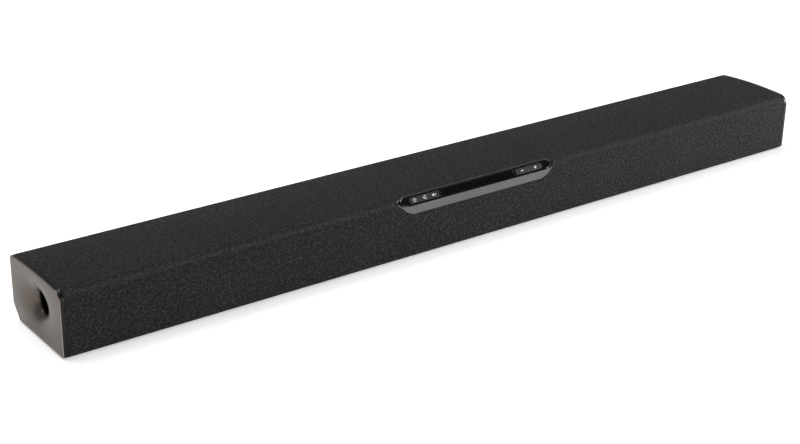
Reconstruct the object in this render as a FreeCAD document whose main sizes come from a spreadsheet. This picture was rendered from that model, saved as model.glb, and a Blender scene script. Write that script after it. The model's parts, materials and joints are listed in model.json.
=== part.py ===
"""A 40-inch soundbar: cloth-wrapped bar, dished end caps with bass ports, and a control strip.

Origin: centre of the footprint, on the surface that the feet stand on.
+X runs along the bar, the front faces -Y and +Z is up. Millimetres.
"""
import FreeCAD, Part

import math
import os
import re

import Sketcher

V = FreeCAD.Vector

# Every driving dimension, in millimetres (control_tilt is in degrees).
DIMENSIONS = {
    # the bar's outside
    "body_length": 1016,
    "body_depth": 113,
    "body_height": 73,
    "foot_height": 1.5,
    "front_top_radius": 12,
    "front_bottom_radius": 3,
    "rear_top_radius": 4.5,
    "camber_radius": 620,
    "camber_peak": -5,
    "chamfer_depth": 13,
    "chamfer_rise": 15.5,
    # end caps and bass ports
    "cap_lip": 5,
    "cap_gap": 0.1,
    "cap_edge_radius": 1.2,
    "spigot_length": 6,
    "spigot_wall": 2,
    "spigot_gap": 0.3,
    "port_radius": 12,
    "port_wall": 2,
    "port_height": 37.3,
    "port_tube_length": 90,
    "dish_half_depth": 50,
    "dish_half_height": 33,
    "dish_sink": 12,
    "dish_lead": 0.3,
    "dish_wall": 1.8,
    "stub_end": 21,
    # layers of the casing, each as an inset from the outside
    "cloth_thickness": 0.6,
    "frame_inset": 0.8,
    "frame_inner_inset": 3,
    "shell_inset": 3.3,
    "bezel_proud": 0.3,
    "bezel_depth": 3.6,
    # rear housing
    "wall": 3,
    "bottom_seam": -42,
    "rear_seam": 60,
    "seam_gap": 0.3,
    "baffle_rear": -38,
    "baffle_thickness": 3,
    "baffle_bottom": 5,
    "baffle_top": 68.2,
    "cavity_top": 64.5,
    "rear_step": 57,
    "rear_step_depth": 3.2,
    "rail_depth": 6,
    "rail_top": 10,
    "rail_half": 490,
    # grille frame
    "window_width": 90,
    "window_pitch": 98,
    "window_bottom": 12,
    "window_top": 48,
    "post_radius": 2.5,
    # rear bay and wall-mount plates
    "bay_half": 95,
    "bay_bottom": 24,
    "bay_top": 56,
    "bay_floor": 45,
    "bay_gap": 0.2,
    "tray_wall": 2,
    "socket_height": 40,
    "inlet_place": 62,
    "optical_place": -30,
    "aux_place": -60,
    "pin_spacing": 8.6,
    "keyhole_spacing": 500,
    "keyhole_height": 42,
    "keyhole_radius": 4.5,
    "keyhole_slot_radius": 2.2,
    # feet
    "foot_radius": 9,
    "foot_recess": 0.8,
    "foot_span": 880,
    "front_foot": -31,
    "rear_foot": 33,
    # drivers
    "driver_height": 36.6,
    "woofer_spacing": 600,
    "tweeter_spacing": 800,
    "gasket_thickness": 0.5,
    "woofer_cutout": 26.6,
    "tweeter_cutout": 15.4,
    "woofer_frame_radius": 30.3,
    "woofer_screw_circle": 28.5,
    "tweeter_frame_radius": 24,
    "tweeter_screw_circle": 21.2,
    "screw_head_radius": 1.65,
    "screw_head_height": 1.4,
    "screw_radius": 1.1,
    # inside
    "bulkhead_place": 150,
    "lead_height": 22,
    "lead_pass": 28,
    "lead_radius": 1.5,
    "board_bottom": 10.5,
    "board_thickness": 1.6,
    "board_inner": 8,
    "board_outer": 140,
    "board_front": -28,
    "board_rear": 36,
    "board_hole_margin": 5,
    # control strip, in its own tilted plane: across, up the slope, and height along its normal
    "control_tilt": 55,
    "bezel_bottom_half": 92,
    "bezel_bottom": 10.2,
    "bezel_shoulder_half": 100.5,
    "bezel_shoulder": 13.4,
    "bezel_flank_half": 109,
    "bezel_flank": 20.2,
    "bezel_tip_half": 113.3,
    "bezel_tip": 26,
    "bezel_top_half": 103,
    "bezel_top": 31.9,
    "panel_bottom_half": 97,
    "panel_bottom": 18.9,
    "panel_tip_half": 108.3,
    "panel_tip": 25.2,
    "panel_top_half": 101.5,
    "panel_top": 29.9,
    "panel_face": 81,
    "panel_thickness": 2,
    "strip_middle": 24.4,
    "display_half": 52,
    "display_height": 8.4,
    "key_height": 7,
    "key_proud": 0.6,
    "key_gap": 0.4,
    "key_left_centre": 74.6,
    "key_left_pitch": 13.3,
    "key_right_centre": 74.5,
    "key_right_pitch": 19.5,
    "key_end_radius": 3.2,
    "control_board_top": 76,
    "control_board_half": 100,
    "control_board_height": 10,
    "strip_cut_low": 60,
    "strip_cut_high": 100,
    "strip_gap": 0.15,
    "key_flange": 0.9,
    "switch_size": 4.5,
    "light_pitch": 8,
}

doc = FreeCAD.newDocument("soundbar")
dims = doc.addObject("Spreadsheet::Sheet", "dims")
for row, (alias, amount) in enumerate(DIMENSIONS.items(), 1):
    dims.set("A%d" % row, alias)
    dims.set("B%d" % row, str(amount))
    dims.setAlias("B%d" % row, alias)
doc.recompute()

ORIGIN = ("0", "0", "0")
END_ON = FreeCAD.Rotation(V(1, 1, 1), 120)      # sketch x, y and normal lie along Y, Z and X
STRAIGHT = FreeCAD.Rotation()
FACING_FRONT = FreeCAD.Rotation(V(1, 0, 0), 90)  # local Z points to the front, local Y up
FACING_REAR = FreeCAD.Rotation(V(1, 0, 0), -90)
AXIS_BACK = FreeCAD.Rotation(V(0, 0, 1), 90)     # a turned piece's axis runs to the rear
AXIS_UP = FreeCAD.Rotation(V(0, 1, 0), -90)
AXIS_LEFT = FreeCAD.Rotation(V(0, 0, 1), 180)
STRIP = FreeCAD.Rotation(V(1, 0, 0), dims.get("control_tilt"))

subparts = []


# ---------------------------------------------------------------- helpers

def formula(text):
    """A sheet expression: each alias in the text gets the sheet's name in front."""
    return re.sub(r"[a-z_]+", lambda word: "dims." + word.group() if word.group() in DIMENSIONS
                  else word.group(), text)


def bind(item, field, text):
    item.setExpression(field, formula(text))


def number(text):
    """The value of an alias or of a plain number, with an optional minus sign."""
    sign = -1 if text.startswith("-") else 1
    name = text.lstrip("-")
    return sign * (dims.get(name) if name in DIMENSIONS else float(name))


def place(item, spot=ORIGIN, turn=STRAIGHT):
    item.Placement = FreeCAD.Placement(V(0, 0, 0), turn)
    for letter, text in zip("xyz", spot):
        bind(item, "Placement.Base." + letter, text)
    return item


def keep(item, label):
    """Name a finished sub-part and put it on the list of files to write."""
    item.Label = label
    subparts.append(item)
    return item


def block(name, across, along, up):
    """A box between pairs of X, Y and Z formulas."""
    box = doc.addObject("Part::Box", name)
    for side, (low, high) in zip(("Length", "Width", "Height"), (across, along, up)):
        bind(box, side, "(%s) - (%s)" % (high, low))
    return place(box, (across[0], along[0], up[0]))


def rod(name, radius, length, spot, turn=STRAIGHT):
    cylinder = doc.addObject("Part::Cylinder", name)
    bind(cylinder, "Radius", radius)
    bind(cylinder, "Height", length)
    return place(cylinder, spot, turn)


def cut(name, base, tool):
    result = doc.addObject("Part::Cut", name)
    result.Base = base
    result.Tool = tool
    return result


def overlap(name, base, tool):
    result = doc.addObject("Part::Common", name)
    result.Base = base
    result.Tool = tool
    return result


def join(name, pieces):
    result = doc.addObject("Part::MultiFuse", name)
    result.Shapes = pieces
    return result


def group(name, pieces):
    """Several separate solids that share one node."""
    result = doc.addObject("Part::Compound", name)
    result.Links = pieces
    return result


def draw(sketch, loops, circles=()):
    """Closed straight-sided loops of (x, y) formulas, and circles of (x, y, radius) formulas."""
    for corners in loops:
        first = sketch.GeometryCount
        count = len(corners)
        start = [V(math.cos(math.tau * i / count), math.sin(math.tau * i / count), 0)
                 for i in range(count)]
        for i in range(count):
            sketch.addGeometry(Part.LineSegment(start[i], start[(i + 1) % count]))
        for i in range(count):
            after = first + (i + 1) % count
            sketch.addConstraint(Sketcher.Constraint("Coincident", first + i, 2, after, 1))
        for i, corner in enumerate(corners):
            for kind, text, value in zip(("DistanceX", "DistanceY"), corner, start[i]):
                index = sketch.addConstraint(Sketcher.Constraint(kind, first + i, 1, value))
                bind(sketch, "Constraints[%d]" % index, text)
    for x, y, radius in circles:
        ring = sketch.addGeometry(Part.Circle(V(1, 1, 0), V(0, 0, 1), 1))
        for kind, text in (("DistanceX", x), ("DistanceY", y)):
            index = sketch.addConstraint(Sketcher.Constraint(kind, ring, 3, 1.0))
            bind(sketch, "Constraints[%d]" % index, text)
        index = sketch.addConstraint(Sketcher.Constraint("Radius", ring, 1.0))
        bind(sketch, "Constraints[%d]" % index, radius)
    return sketch


def new_body(name, spot=ORIGIN, turn=STRAIGHT):
    return place(doc.addObject("PartDesign::Body", name), spot, turn)


def body_sketch(body, loops, circles=(), height="0"):
    """A sketch in the body's XY plane, raised by a height."""
    sketch = body.newObject("Sketcher::SketchObject", body.Name + "_sketch")
    base = [item for item in body.Origin.OriginFeatures if item.Role == "XY_Plane"][0]
    sketch.AttachmentSupport = [(base, "")]
    sketch.MapMode = "FlatFace"
    bind(sketch, "AttachmentOffset.Base.z", height)
    return draw(sketch, loops, circles)


def pad(body, loops, low, high, circles=()):
    sketch = body_sketch(body, loops, circles, low)
    feature = body.newObject("PartDesign::Pad", body.Name + "_pad")
    feature.Profile = sketch
    bind(feature, "Length", "(%s) - (%s)" % (high, low))
    return feature


def pocket(body, loops, low, high, circles=()):
    """Cut from the high level down to the low one, and make sure that it cut something."""
    doc.recompute()
    before = body.Shape.Volume
    feature = body.newObject("PartDesign::Pocket", body.Name + "_pocket")
    feature.Profile = body_sketch(body, loops, circles, high)
    bind(feature, "Length", "(%s) - (%s)" % (high, low))
    body.Tip = feature
    doc.recompute()
    if not body.Shape.Volume < before:
        raise RuntimeError(feature.Name + " cuts nothing")
    return feature


def turned(name, corners, spot=ORIGIN, turn=STRAIGHT):
    """A body turned about its own X axis from a closed outline of (along, radius) formulas."""
    body = new_body(name, spot, turn)
    sketch = body_sketch(body, [corners])
    feature = body.newObject("PartDesign::Revolution", name + "_revolution")
    feature.Profile = sketch
    feature.ReferenceAxis = (sketch, ["H_Axis"])
    feature.Angle = 360
    return body


def round_upright(body, radius, chosen):
    """Round the body's upright edges whose place (x, y) in the body is chosen."""
    doc.recompute()
    base = body.Tip
    names = []
    for count, edge in enumerate(base.Shape.Edges, 1):
        ends = [vertex.Point for vertex in edge.Vertexes]
        upright = len(ends) == 2 and math.dist(ends[0][:2], ends[1][:2]) < 1e-6
        if upright and chosen(ends[0].x, ends[0].y):
            names.append("Edge%d" % count)
    fillet = body.newObject("PartDesign::Fillet", body.Name + "_fillet")
    fillet.Base = (base, names)
    bind(fillet, "Radius", radius)
    return fillet


def rectangle(left, right, bottom, top):
    return [(left, bottom), (right, bottom), (right, top), (left, top)]


def both_sides(right_half):
    """A closed outline from its right half, given from the bottom up."""
    return right_half + [("-(%s)" % x, y) for x, y in reversed(right_half)]


# ---------------------------------------------------------------- the bar's outline and its layers

def bar_outline(name, inset):
    """The bar seen end on, moved inwards by an inset: flat bottom, rear chamfer, cambered top."""
    d = number(inset)
    front = -number("body_depth") / 2 + d
    rear = number("body_depth") / 2 - d
    bottom = number("foot_height") + d
    depth, rise = number("chamfer_depth"), number("chamfer_rise")
    slope = math.hypot(depth, rise)
    chamfer_low = rear + d - depth - d * (slope - depth) / rise
    chamfer_high = bottom - d + rise + d * (slope - rise) / depth
    corner = {key: max(number(key + "_radius") - d, 0.5)
              for key in ("front_top", "front_bottom", "rear_top")}
    camber = number("camber_radius") - d
    hub = V(number("camber_peak"), number("body_height") - number("camber_radius"), 0)

    def corner_centre(y, radius):
        reach = camber - radius
        return V(y, hub.y + math.sqrt(reach ** 2 - (y - hub.x) ** 2), 0)

    rear_hub = corner_centre(rear - corner["rear_top"], corner["rear_top"])
    front_hub = corner_centre(front + corner["front_top"], corner["front_top"])
    low_hub = V(front + corner["front_bottom"], bottom + corner["front_bottom"], 0)
    rear_angle = math.atan2(rear_hub.y - hub.y, rear_hub.x - hub.x)
    front_angle = math.atan2(front_hub.y - hub.y, front_hub.x - hub.x)

    def arc(centre, radius, start, end):
        return Part.ArcOfCircle(Part.Circle(centre, V(0, 0, 1), radius), start, end)

    sketch = doc.addObject("Sketcher::SketchObject", name)
    sketch.Placement = FreeCAD.Placement(V(0, 0, 0), END_ON)
    sketch.addGeometry([
        Part.LineSegment(V(low_hub.x, bottom, 0), V(chamfer_low, bottom, 0)),
        Part.LineSegment(V(chamfer_low, bottom, 0), V(rear, chamfer_high, 0)),
        Part.LineSegment(V(rear, chamfer_high, 0), V(rear, rear_hub.y, 0)),
        arc(rear_hub, corner["rear_top"], 0, rear_angle),
        arc(hub, camber, rear_angle, front_angle),
        arc(front_hub, corner["front_top"], front_angle, math.pi),
        Part.LineSegment(V(front, front_hub.y, 0), V(front, low_hub.y, 0)),
        arc(low_hub, corner["front_bottom"], math.pi, 1.5 * math.pi),
    ])
    base, chamfer, back, back_arc, top, front_arc, face, low_arc = range(8)
    for kind, *places in (("Coincident", base, 2, chamfer, 1), ("Coincident", chamfer, 2, back, 1),
                          ("Tangent", back, 2, back_arc, 1), ("Tangent", back_arc, 2, top, 1),
                          ("Tangent", top, 2, front_arc, 1), ("Tangent", front_arc, 2, face, 1),
                          ("Tangent", face, 2, low_arc, 1), ("Tangent", low_arc, 2, base, 1),
                          ("Horizontal", base), ("Vertical", back), ("Vertical", face)):
        sketch.addConstraint(Sketcher.Constraint(kind, *places))
    half, slope_text = "body_depth / 2", "sqrt(chamfer_depth ^ 2 + chamfer_rise ^ 2)"
    for kind, places, value, text in (
            ("DistanceX", (face, 1), front, "(%s) - %s" % (inset, half)),
            ("DistanceX", (back, 1), rear, "%s - (%s)" % (half, inset)),
            ("DistanceY", (base, 1), bottom, "foot_height + (%s)" % inset),
            ("DistanceX", (chamfer, 1), chamfer_low, "%s - chamfer_depth - (%s) * "
             "(%s - chamfer_depth) / chamfer_rise" % (half, inset, slope_text)),
            ("DistanceY", (chamfer, 2), chamfer_high, "foot_height + chamfer_rise + (%s) * "
             "(%s - chamfer_rise) / chamfer_depth" % (inset, slope_text)),
            ("DistanceX", (top, 3), hub.x, "camber_peak"),
            ("DistanceY", (top, 3), hub.y, "body_height - camber_radius"),
            ("Radius", (top,), camber, "camber_radius - (%s)" % inset),
            ("Radius", (back_arc,), corner["rear_top"], "max(rear_top_radius - (%s); 0.5)" % inset),
            ("Radius", (front_arc,), corner["front_top"], "front_top_radius - (%s)" % inset),
            ("Radius", (low_arc,), corner["front_bottom"],
             "max(front_bottom_radius - (%s); 0.5)" % inset)):
        index = sketch.addConstraint(Sketcher.Constraint(kind, *places, value))
        bind(sketch, "Constraints[%d]" % index, text)
    return sketch


def prism(name, sketch, low, high):
    """The solid that an end-on sketch sweeps along X between two formulas."""
    solid = doc.addObject("Part::Extrusion", name)
    solid.Base = sketch
    solid.DirMode = "Custom"
    solid.Dir = V(1, 0, 0)
    solid.Solid = True
    bind(solid, "LengthFwd", high)
    bind(solid, "LengthRev", "-(%s)" % low)
    return solid


def end_on_prism(name, corners, low, high):
    sketch = doc.addObject("Sketcher::SketchObject", name + "_sketch")
    sketch.Placement = FreeCAD.Placement(V(0, 0, 0), END_ON)
    return prism(name, draw(sketch, [corners]), low, high)


HALF_SHELL = "body_length / 2 - cap_lip - cap_gap"
outline = bar_outline("outline", "0")
full_bar = prism("full_bar", outline, "-(%s)" % HALF_SHELL, HALF_SHELL)


def layer(name, inset):
    """The bar between the end caps, moved inwards by an inset."""
    return prism(name, bar_outline(name + "_outline", inset), "-(%s)" % HALF_SHELL, HALF_SHELL)


frame_outside = layer("frame_outside", "frame_inset")
frame_inside = layer("frame_inside", "frame_inner_inset")


def cavity_corners(gap):
    """The rear housing's hollow seen end on, from its open front, made smaller by a gap."""
    rear = "body_depth / 2 - wall - (%s)" % gap
    floor = "foot_height + wall + (%s)" % gap
    return [("baffle_rear + (%s)" % gap, floor),
            ("body_depth / 2 - wall - chamfer_depth + 1.3 - (%s)" % gap, floor),
            (rear, "foot_height + wall + chamfer_rise - 1.7 + (%s)" % gap),
            (rear, "rear_step - (%s)" % gap),
            (rear + " - rear_step_depth", "rear_step - (%s)" % gap),
            (rear + " - rear_step_depth", "cavity_top - (%s)" % gap),
            ("baffle_rear + (%s)" % gap, "cavity_top - (%s)" % gap)]


# ---------------------------------------------------------------- rear housing

def rear_region(name, gap):
    """The part of the outside that the rear housing fills: bottom, chamfer and rear."""
    low = block(name + "_bottom", ("-body_length", "body_length"),
                ("bottom_seam - (%s)" % gap, "body_depth"), ("-5", "30"))
    back = block(name + "_rear", ("-body_length", "body_length"),
                 ("body_depth / 2 - 12", "body_depth"), ("20", "rear_seam + (%s)" % gap))
    return join(name, [low, back])


def rear_housing():
    skin = overlap("housing_skin", full_bar, rear_region("housing_region", "0"))
    behind = block("behind_baffle", ("-body_length", "body_length"), ("baffle_rear", "body_depth"),
                   ("0", "body_height"))
    core = overlap("housing_core", layer("shell_layer", "shell_inset"), behind)
    solid = join("housing_solid", [skin, core])
    hollow = end_on_prism("housing_hollow", [("-body_depth", "foot_height + wall"),
                                             *cavity_corners("0")[1:-1],
                                             ("-body_depth", "cavity_top")],
                          "-body_length", "body_length")
    shell = cut("housing_shell", solid, hollow)
    rail = block("housing_rail", ("-rail_half", "rail_half"),
                 ("baffle_rear", "baffle_rear + rail_depth"), ("foot_height + 1", "rail_top"))
    bay = block("bay_opening", ("-bay_half", "bay_half"), ("bay_floor - 5", "body_depth"),
                ("bay_bottom", "bay_top"))
    holes = [bay]
    for side, sign in (("left", "-"), ("right", "")):
        centre = sign + "keyhole_spacing / 2"
        holes.append(block(side + "_wall_slot", (centre + " - 11", centre + " + 11"),
                           ("bay_floor", "body_depth"), ("keyhole_height - 9", "keyhole_height + 12")))
        for end, y in (("front", "front_foot"), ("rear", "rear_foot")):
            holes.append(rod(side + "_" + end + "_foot_recess", "foot_radius + 0.3",
                             "foot_recess + 5", (sign + "foot_span / 2", y, "foot_height - 5")))
    keep(cut("rear_housing", join("housing_with_rail", [shell, rail]),
             join("housing_holes", holes)), "rear_housing")


def feet():
    outline_along_up = [("0", "0"), ("0", "foot_radius - 0.6"), ("0.6", "foot_radius"),
                        ("foot_height + foot_recess - 0.05", "foot_radius"),
                        ("foot_height + foot_recess - 0.05", "0")]
    pads = []
    for side, sign in (("left", "-"), ("right", "")):
        for end, y in (("front", "front_foot"), ("rear", "rear_foot")):
            pads.append(turned("%s_%s_foot" % (side, end), outline_along_up,
                               (sign + "foot_span / 2", y, "0"), AXIS_UP))
    keep(group("rubber_feet", pads), "rubber_feet")


def bulkheads():
    front = "baffle_rear + 0.1"
    behind_rail = "baffle_rear + rail_depth + 0.2"
    corners = cavity_corners("0.1")
    notched = ([(behind_rail, corners[0][1])] + corners[1:]
               + [(front, "rail_top + 0.2"), (behind_rail, "rail_top + 0.2")])
    for side, place_x in (("left", "-bulkhead_place - wall"), ("right", "bulkhead_place")):
        body = new_body(side + "_bulkhead", (place_x, "0", "0"), END_ON)
        pad(body, [notched], "0", "wall", [("lead_pass", "lead_height", "4")])
        keep(body, side + "_bulkhead")


# ---------------------------------------------------------------- front baffle and grille

def front_baffle():
    body = new_body("front_baffle", ("0", "baffle_rear", "0"), FACING_FRONT)
    half = "body_length / 2 - cap_lip - 0.4"
    holes = []
    for sign in ("-", ""):
        holes.append((sign + "woofer_spacing / 2", "driver_height", "woofer_cutout"))
        holes.append((sign + "tweeter_spacing / 2", "driver_height", "tweeter_cutout"))
    pad(body, [rectangle("-(%s)" % half, half, "baffle_bottom", "baffle_top")],
        "0", "baffle_thickness", holes)
    keep(body, "front_baffle")


def front_region(name, base, gap):
    """What is left of a layer in front of and above the rear housing."""
    return cut(name, base, rear_region(name + "_rear_region", gap))


def notch(name, grow):
    """The opening for the control bezel, along the strip's normal."""
    body = new_body(name, turn=STRIP)
    pad(body, [bezel_corners(grow)], "strip_cut_low", "strip_cut_high")
    return body


def grille_frame():
    ring = cut("frame_ring", frame_outside, frame_inside)
    openings = [notch("frame_notch", "0.6")]
    for i in range(10):
        middle = "window_pitch * %.1f" % (i - 4.5)
        openings.append(block("grille_window_%d" % i, (middle + " - window_width / 2",
                                                       middle + " + window_width / 2"),
                              ("-body_depth", "baffle_rear - 6"), ("window_bottom", "window_top")))
    frame = cut("frame_with_windows", front_region("frame_front", ring, "seam_gap"),
                join("frame_openings", openings))
    reach = "body_depth / 2 - frame_inner_inset + baffle_rear - baffle_thickness + 0.4"
    posts = [rod("frame_post_%d" % (i + 5), "post_radius", reach,
                 ("window_pitch * %.2f" % i, "baffle_rear - baffle_thickness - 0.1",
                  "window_bottom - 4"), FACING_FRONT)
             for i in (-4.95, -4, -2, -1, 0, 1, 2, 4, 4.95)]
    keep(join("grille_frame", [frame] + posts), "grille_frame")


def grille_cloth():
    ring = cut("cloth_ring", full_bar, layer("cloth_inside", "cloth_thickness"))
    keep(cut("grille_cloth", front_region("cloth_front", ring, "0.2"), notch("cloth_notch", "0.1")),
         "grille_cloth")


# ---------------------------------------------------------------- end caps with flared bass ports

def flare(name, sign, wall, first_angle):
    """The port's bell mouth: ellipses that shrink along a quarter ellipse to the round throat."""
    rim_angle = "acos(1 - dish_lead / dish_sink)"
    sections = []
    for step in range(first_angle, 91, 15):
        ring = doc.addObject("Part::Ellipse", "%s_%d" % (name, step))
        for field, half in (("MajorRadius", "dish_half_depth"), ("MinorRadius", "dish_half_height")):
            bind(ring, field, "port_radius + %s + (%s - port_radius) * (1 - sin(%d)) / "
                 "(1 - sin(%s))" % (wall, half, step, rim_angle))
        inward = "dish_sink * (1 - cos(%d)) - dish_lead + %s" % (step, wall)
        place(ring, ("%s(body_length / 2 - (%s))" % (sign, inward), "0", "port_height"), END_ON)
        sections.append(ring)
    solid = doc.addObject("Part::Loft", name)
    solid.Sections = sections
    solid.Solid = True
    return solid


def end_cap(side, sign):
    """The moulded cap: a lip of the bar's outline, a dished face, a port stub and a spigot."""
    inner, outer = "body_length / 2 - cap_lip", "body_length / 2"
    span = (inner, outer) if sign == "" else ("-(%s)" % outer, "-(%s)" % inner)
    plate = prism(side + "_cap_plate", outline, *span)
    doc.recompute()
    edges = [count for count, edge in enumerate(plate.Shape.Edges, 1)
             if all(abs(abs(vertex.X) - number("body_length") / 2) < 1e-6 for vertex in edge.Vertexes)]
    rounded = doc.addObject("Part::Fillet", side + "_cap_rounded")
    rounded.Base = plate
    rounded.Edges = [(count, number("cap_edge_radius"), number("cap_edge_radius")) for count in edges]

    start = "body_length / 2 - cap_lip - spigot_length"
    reach = (start, inner + " + 1") if sign == "" else ("-(%s + 1)" % inner, "-(%s)" % start)
    spigot = cut(side + "_spigot",
                 end_on_prism(side + "_spigot_outside", cavity_corners("spigot_gap"), *reach),
                 end_on_prism(side + "_spigot_inside", cavity_corners("spigot_gap + spigot_wall"),
                              "-body_length", inner) if sign == "" else
                 end_on_prism(side + "_spigot_inside", cavity_corners("spigot_gap + spigot_wall"),
                              "-(%s)" % inner, "body_length"))
    stub_turn = FreeCAD.Rotation(V(0, 1, 0), -90 if sign == "" else 90)
    stub = rod(side + "_stub", "port_radius + port_wall", "stub_end - dish_sink",
               ("%s(body_length / 2 - dish_sink)" % sign, "0", "port_height"), stub_turn)
    throat = rod(side + "_throat", "port_radius", "stub_end",
                 ("%s(body_length / 2 - dish_sink + 0.6)" % sign, "0", "port_height"), stub_turn)
    solid = join(side + "_cap_solid",
                 [rounded, spigot, stub, flare(side + "_flare_wall", sign, "dish_wall", 30)])
    opening = join(side + "_port_opening", [flare(side + "_flare", sign, "0", 0), throat])
    keep(cut(side + "_end_cap", solid, opening), side + "_end_cap")


def port_tube(side, turn, sign):
    """The bass port inside the box: a straight tube with a collar and a flared inner end."""
    collar_start, collar_end = "port_tube_length - 4", "port_tube_length + 5"
    corners = [("0", "port_radius + 4.5"), ("1", "port_radius + 2.2"), ("3", "port_radius + 0.6"),
               ("6", "port_radius"), ("port_tube_length", "port_radius"),
               ("port_tube_length", "port_radius + port_wall + 0.1"),
               (collar_end, "port_radius + port_wall + 0.1"),
               (collar_end, "port_radius + port_wall + 1.8"),
               (collar_start, "port_radius + port_wall + 1.8"),
               (collar_start, "port_radius + port_wall"), ("7", "port_radius + port_wall"),
               ("4", "port_radius + 2.6"), ("2", "port_radius + 4.2"), ("1.2", "port_radius + 6"),
               ("0", "port_radius + 6")]
    inner_end = "%s(body_length / 2 - stub_end - port_tube_length - 0.2)" % sign
    keep(turned(side + "_port_tube", corners, (inner_end, "0", "port_height"), turn),
         side + "_port_tube")


# ---------------------------------------------------------------- control strip

def bezel_corners(grow):
    """The bezel's outline in the strip's plane: a long bar with drawn-out pointed ends."""
    return both_sides([("bezel_bottom_half + (%s)" % grow, "bezel_bottom - (%s)" % grow),
                       ("bezel_shoulder_half + (%s)" % grow, "bezel_shoulder - (%s)" % grow),
                       ("bezel_flank_half + (%s)" % grow, "bezel_flank - (%s)" % grow),
                       ("bezel_tip_half + (%s)" % grow, "bezel_tip"),
                       ("bezel_top_half + (%s)" % grow, "bezel_top + (%s)" % grow)])


def panel_corners(grow):
    return both_sides([("panel_bottom_half + (%s)" % grow, "panel_bottom - (%s)" % grow),
                       ("panel_tip_half + (%s)" % grow, "panel_tip"),
                       ("panel_top_half + (%s)" % grow, "panel_top + (%s)" % grow)])


def control_bezel():
    """The satin frame that follows the bar's front-top curve round the control panel."""
    block_out = new_body("bezel_block", turn=STRIP)
    pad(block_out, [bezel_corners("-0.1")], "strip_cut_low", "strip_cut_high")
    round_upright(block_out, "3", lambda x, y: y < 15)
    round_upright(block_out, "1.5", lambda x, y: y > 22)
    opening = new_body("bezel_opening", turn=STRIP)
    pad(opening, [panel_corners("0")], "strip_cut_low", "strip_cut_high")
    round_upright(opening, "1.5", lambda x, y: True)
    ring = cut("bezel_layer", layer("bezel_outside", "-bezel_proud"),
               layer("bezel_inside", "bezel_depth"))
    keep(cut("control_bezel", overlap("bezel_solid", ring, block_out), opening), "control_bezel")


def key_groups():
    """Each key's name, the formula of its centre and the pitch of its group."""
    left = [("%s_button" % name, "-key_left_centre + key_left_pitch * %d" % i, "key_left_pitch")
            for name, i in (("power", -1), ("source", 0), ("mute", 1))]
    right = [("%s_button" % name, "key_right_centre + key_right_pitch * %s" % i, "key_right_pitch")
             for name, i in (("volume_down", "(-0.5)"), ("volume_up", "0.5"))]
    return left + right


def key_row(sign, centre, pitch, count, grow):
    """The rectangle round a whole group of keys."""
    reach = "%s * %.1f + (%s)" % (pitch, count / 2, grow)
    return rectangle("%s%s - (%s)" % (sign, centre, reach), "%s%s + (%s)" % (sign, centre, reach),
                     "strip_middle - key_height / 2 - (%s)" % grow,
                     "strip_middle + key_height / 2 + (%s)" % grow)


def control_panel():
    body = new_body("control_panel", turn=STRIP)
    pad(body, [panel_corners("-strip_gap")], "panel_face - panel_thickness", "panel_face")
    round_upright(body, "1.5", lambda x, y: True)
    openings = [rectangle("-display_half - strip_gap", "display_half + strip_gap",
                          "strip_middle - display_height / 2 - strip_gap",
                          "strip_middle + display_height / 2 + strip_gap"),
                key_row("-", "key_left_centre", "key_left_pitch", 3, "0.25"),
                key_row("", "key_right_centre", "key_right_pitch", 2, "0.25")]
    pocket(body, openings, "panel_face - panel_thickness - 1", "panel_face + 1")
    outer_end = number("key_right_centre") + number("key_right_pitch") - 3
    height = number("strip_middle")
    round_upright(body, "key_end_radius + 0.25",
                  lambda x, y: outer_end < abs(x) < outer_end + 5 and abs(y - height) < 4)
    keep(body, "control_panel")


def display_window():
    body = new_body("display_window", turn=STRIP)
    pad(body, [rectangle("-display_half", "display_half", "strip_middle - display_height / 2",
                         "strip_middle + display_height / 2")], "panel_face - 1.8", "panel_face")
    keep(body, "display_window")


def keys():
    """Five push keys: a cap in the panel, a retaining flange behind it and a stem to the switch."""
    for name, centre, pitch in key_groups():
        half = "%s / 2 - key_gap / 2" % pitch
        left, right = "%s - (%s)" % (centre, half), "%s + (%s)" % (centre, half)
        body = new_body(name, turn=STRIP)
        pad(body, [rectangle(left, right, "strip_middle - key_height / 2",
                             "strip_middle + key_height / 2")],
            "panel_face - panel_thickness - 0.5", "panel_face + key_proud")
        doc.recompute()
        box = body.Shape.BoundBox
        if name == "power_button":
            round_upright(body, "key_end_radius", lambda x, y: x < box.XMin + 1)
        if name == "volume_up_button":
            round_upright(body, "key_end_radius", lambda x, y: x > box.XMax - 1)
        inset = "(%s) - 1.6" % half
        pad(body, [rectangle("%s - (%s)" % (centre, inset), "%s + (%s)" % (centre, inset),
                             "strip_middle - key_height / 2 - key_flange",
                             "strip_middle + key_height / 2 + key_flange")],
            "panel_face - panel_thickness - key_flange", "panel_face - panel_thickness - 0.1")
        pad(body, [], "panel_face - panel_thickness - 1.2", "panel_face - panel_thickness",
            [(centre, "strip_middle", "1.5")])
        keep(body, name)


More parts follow.
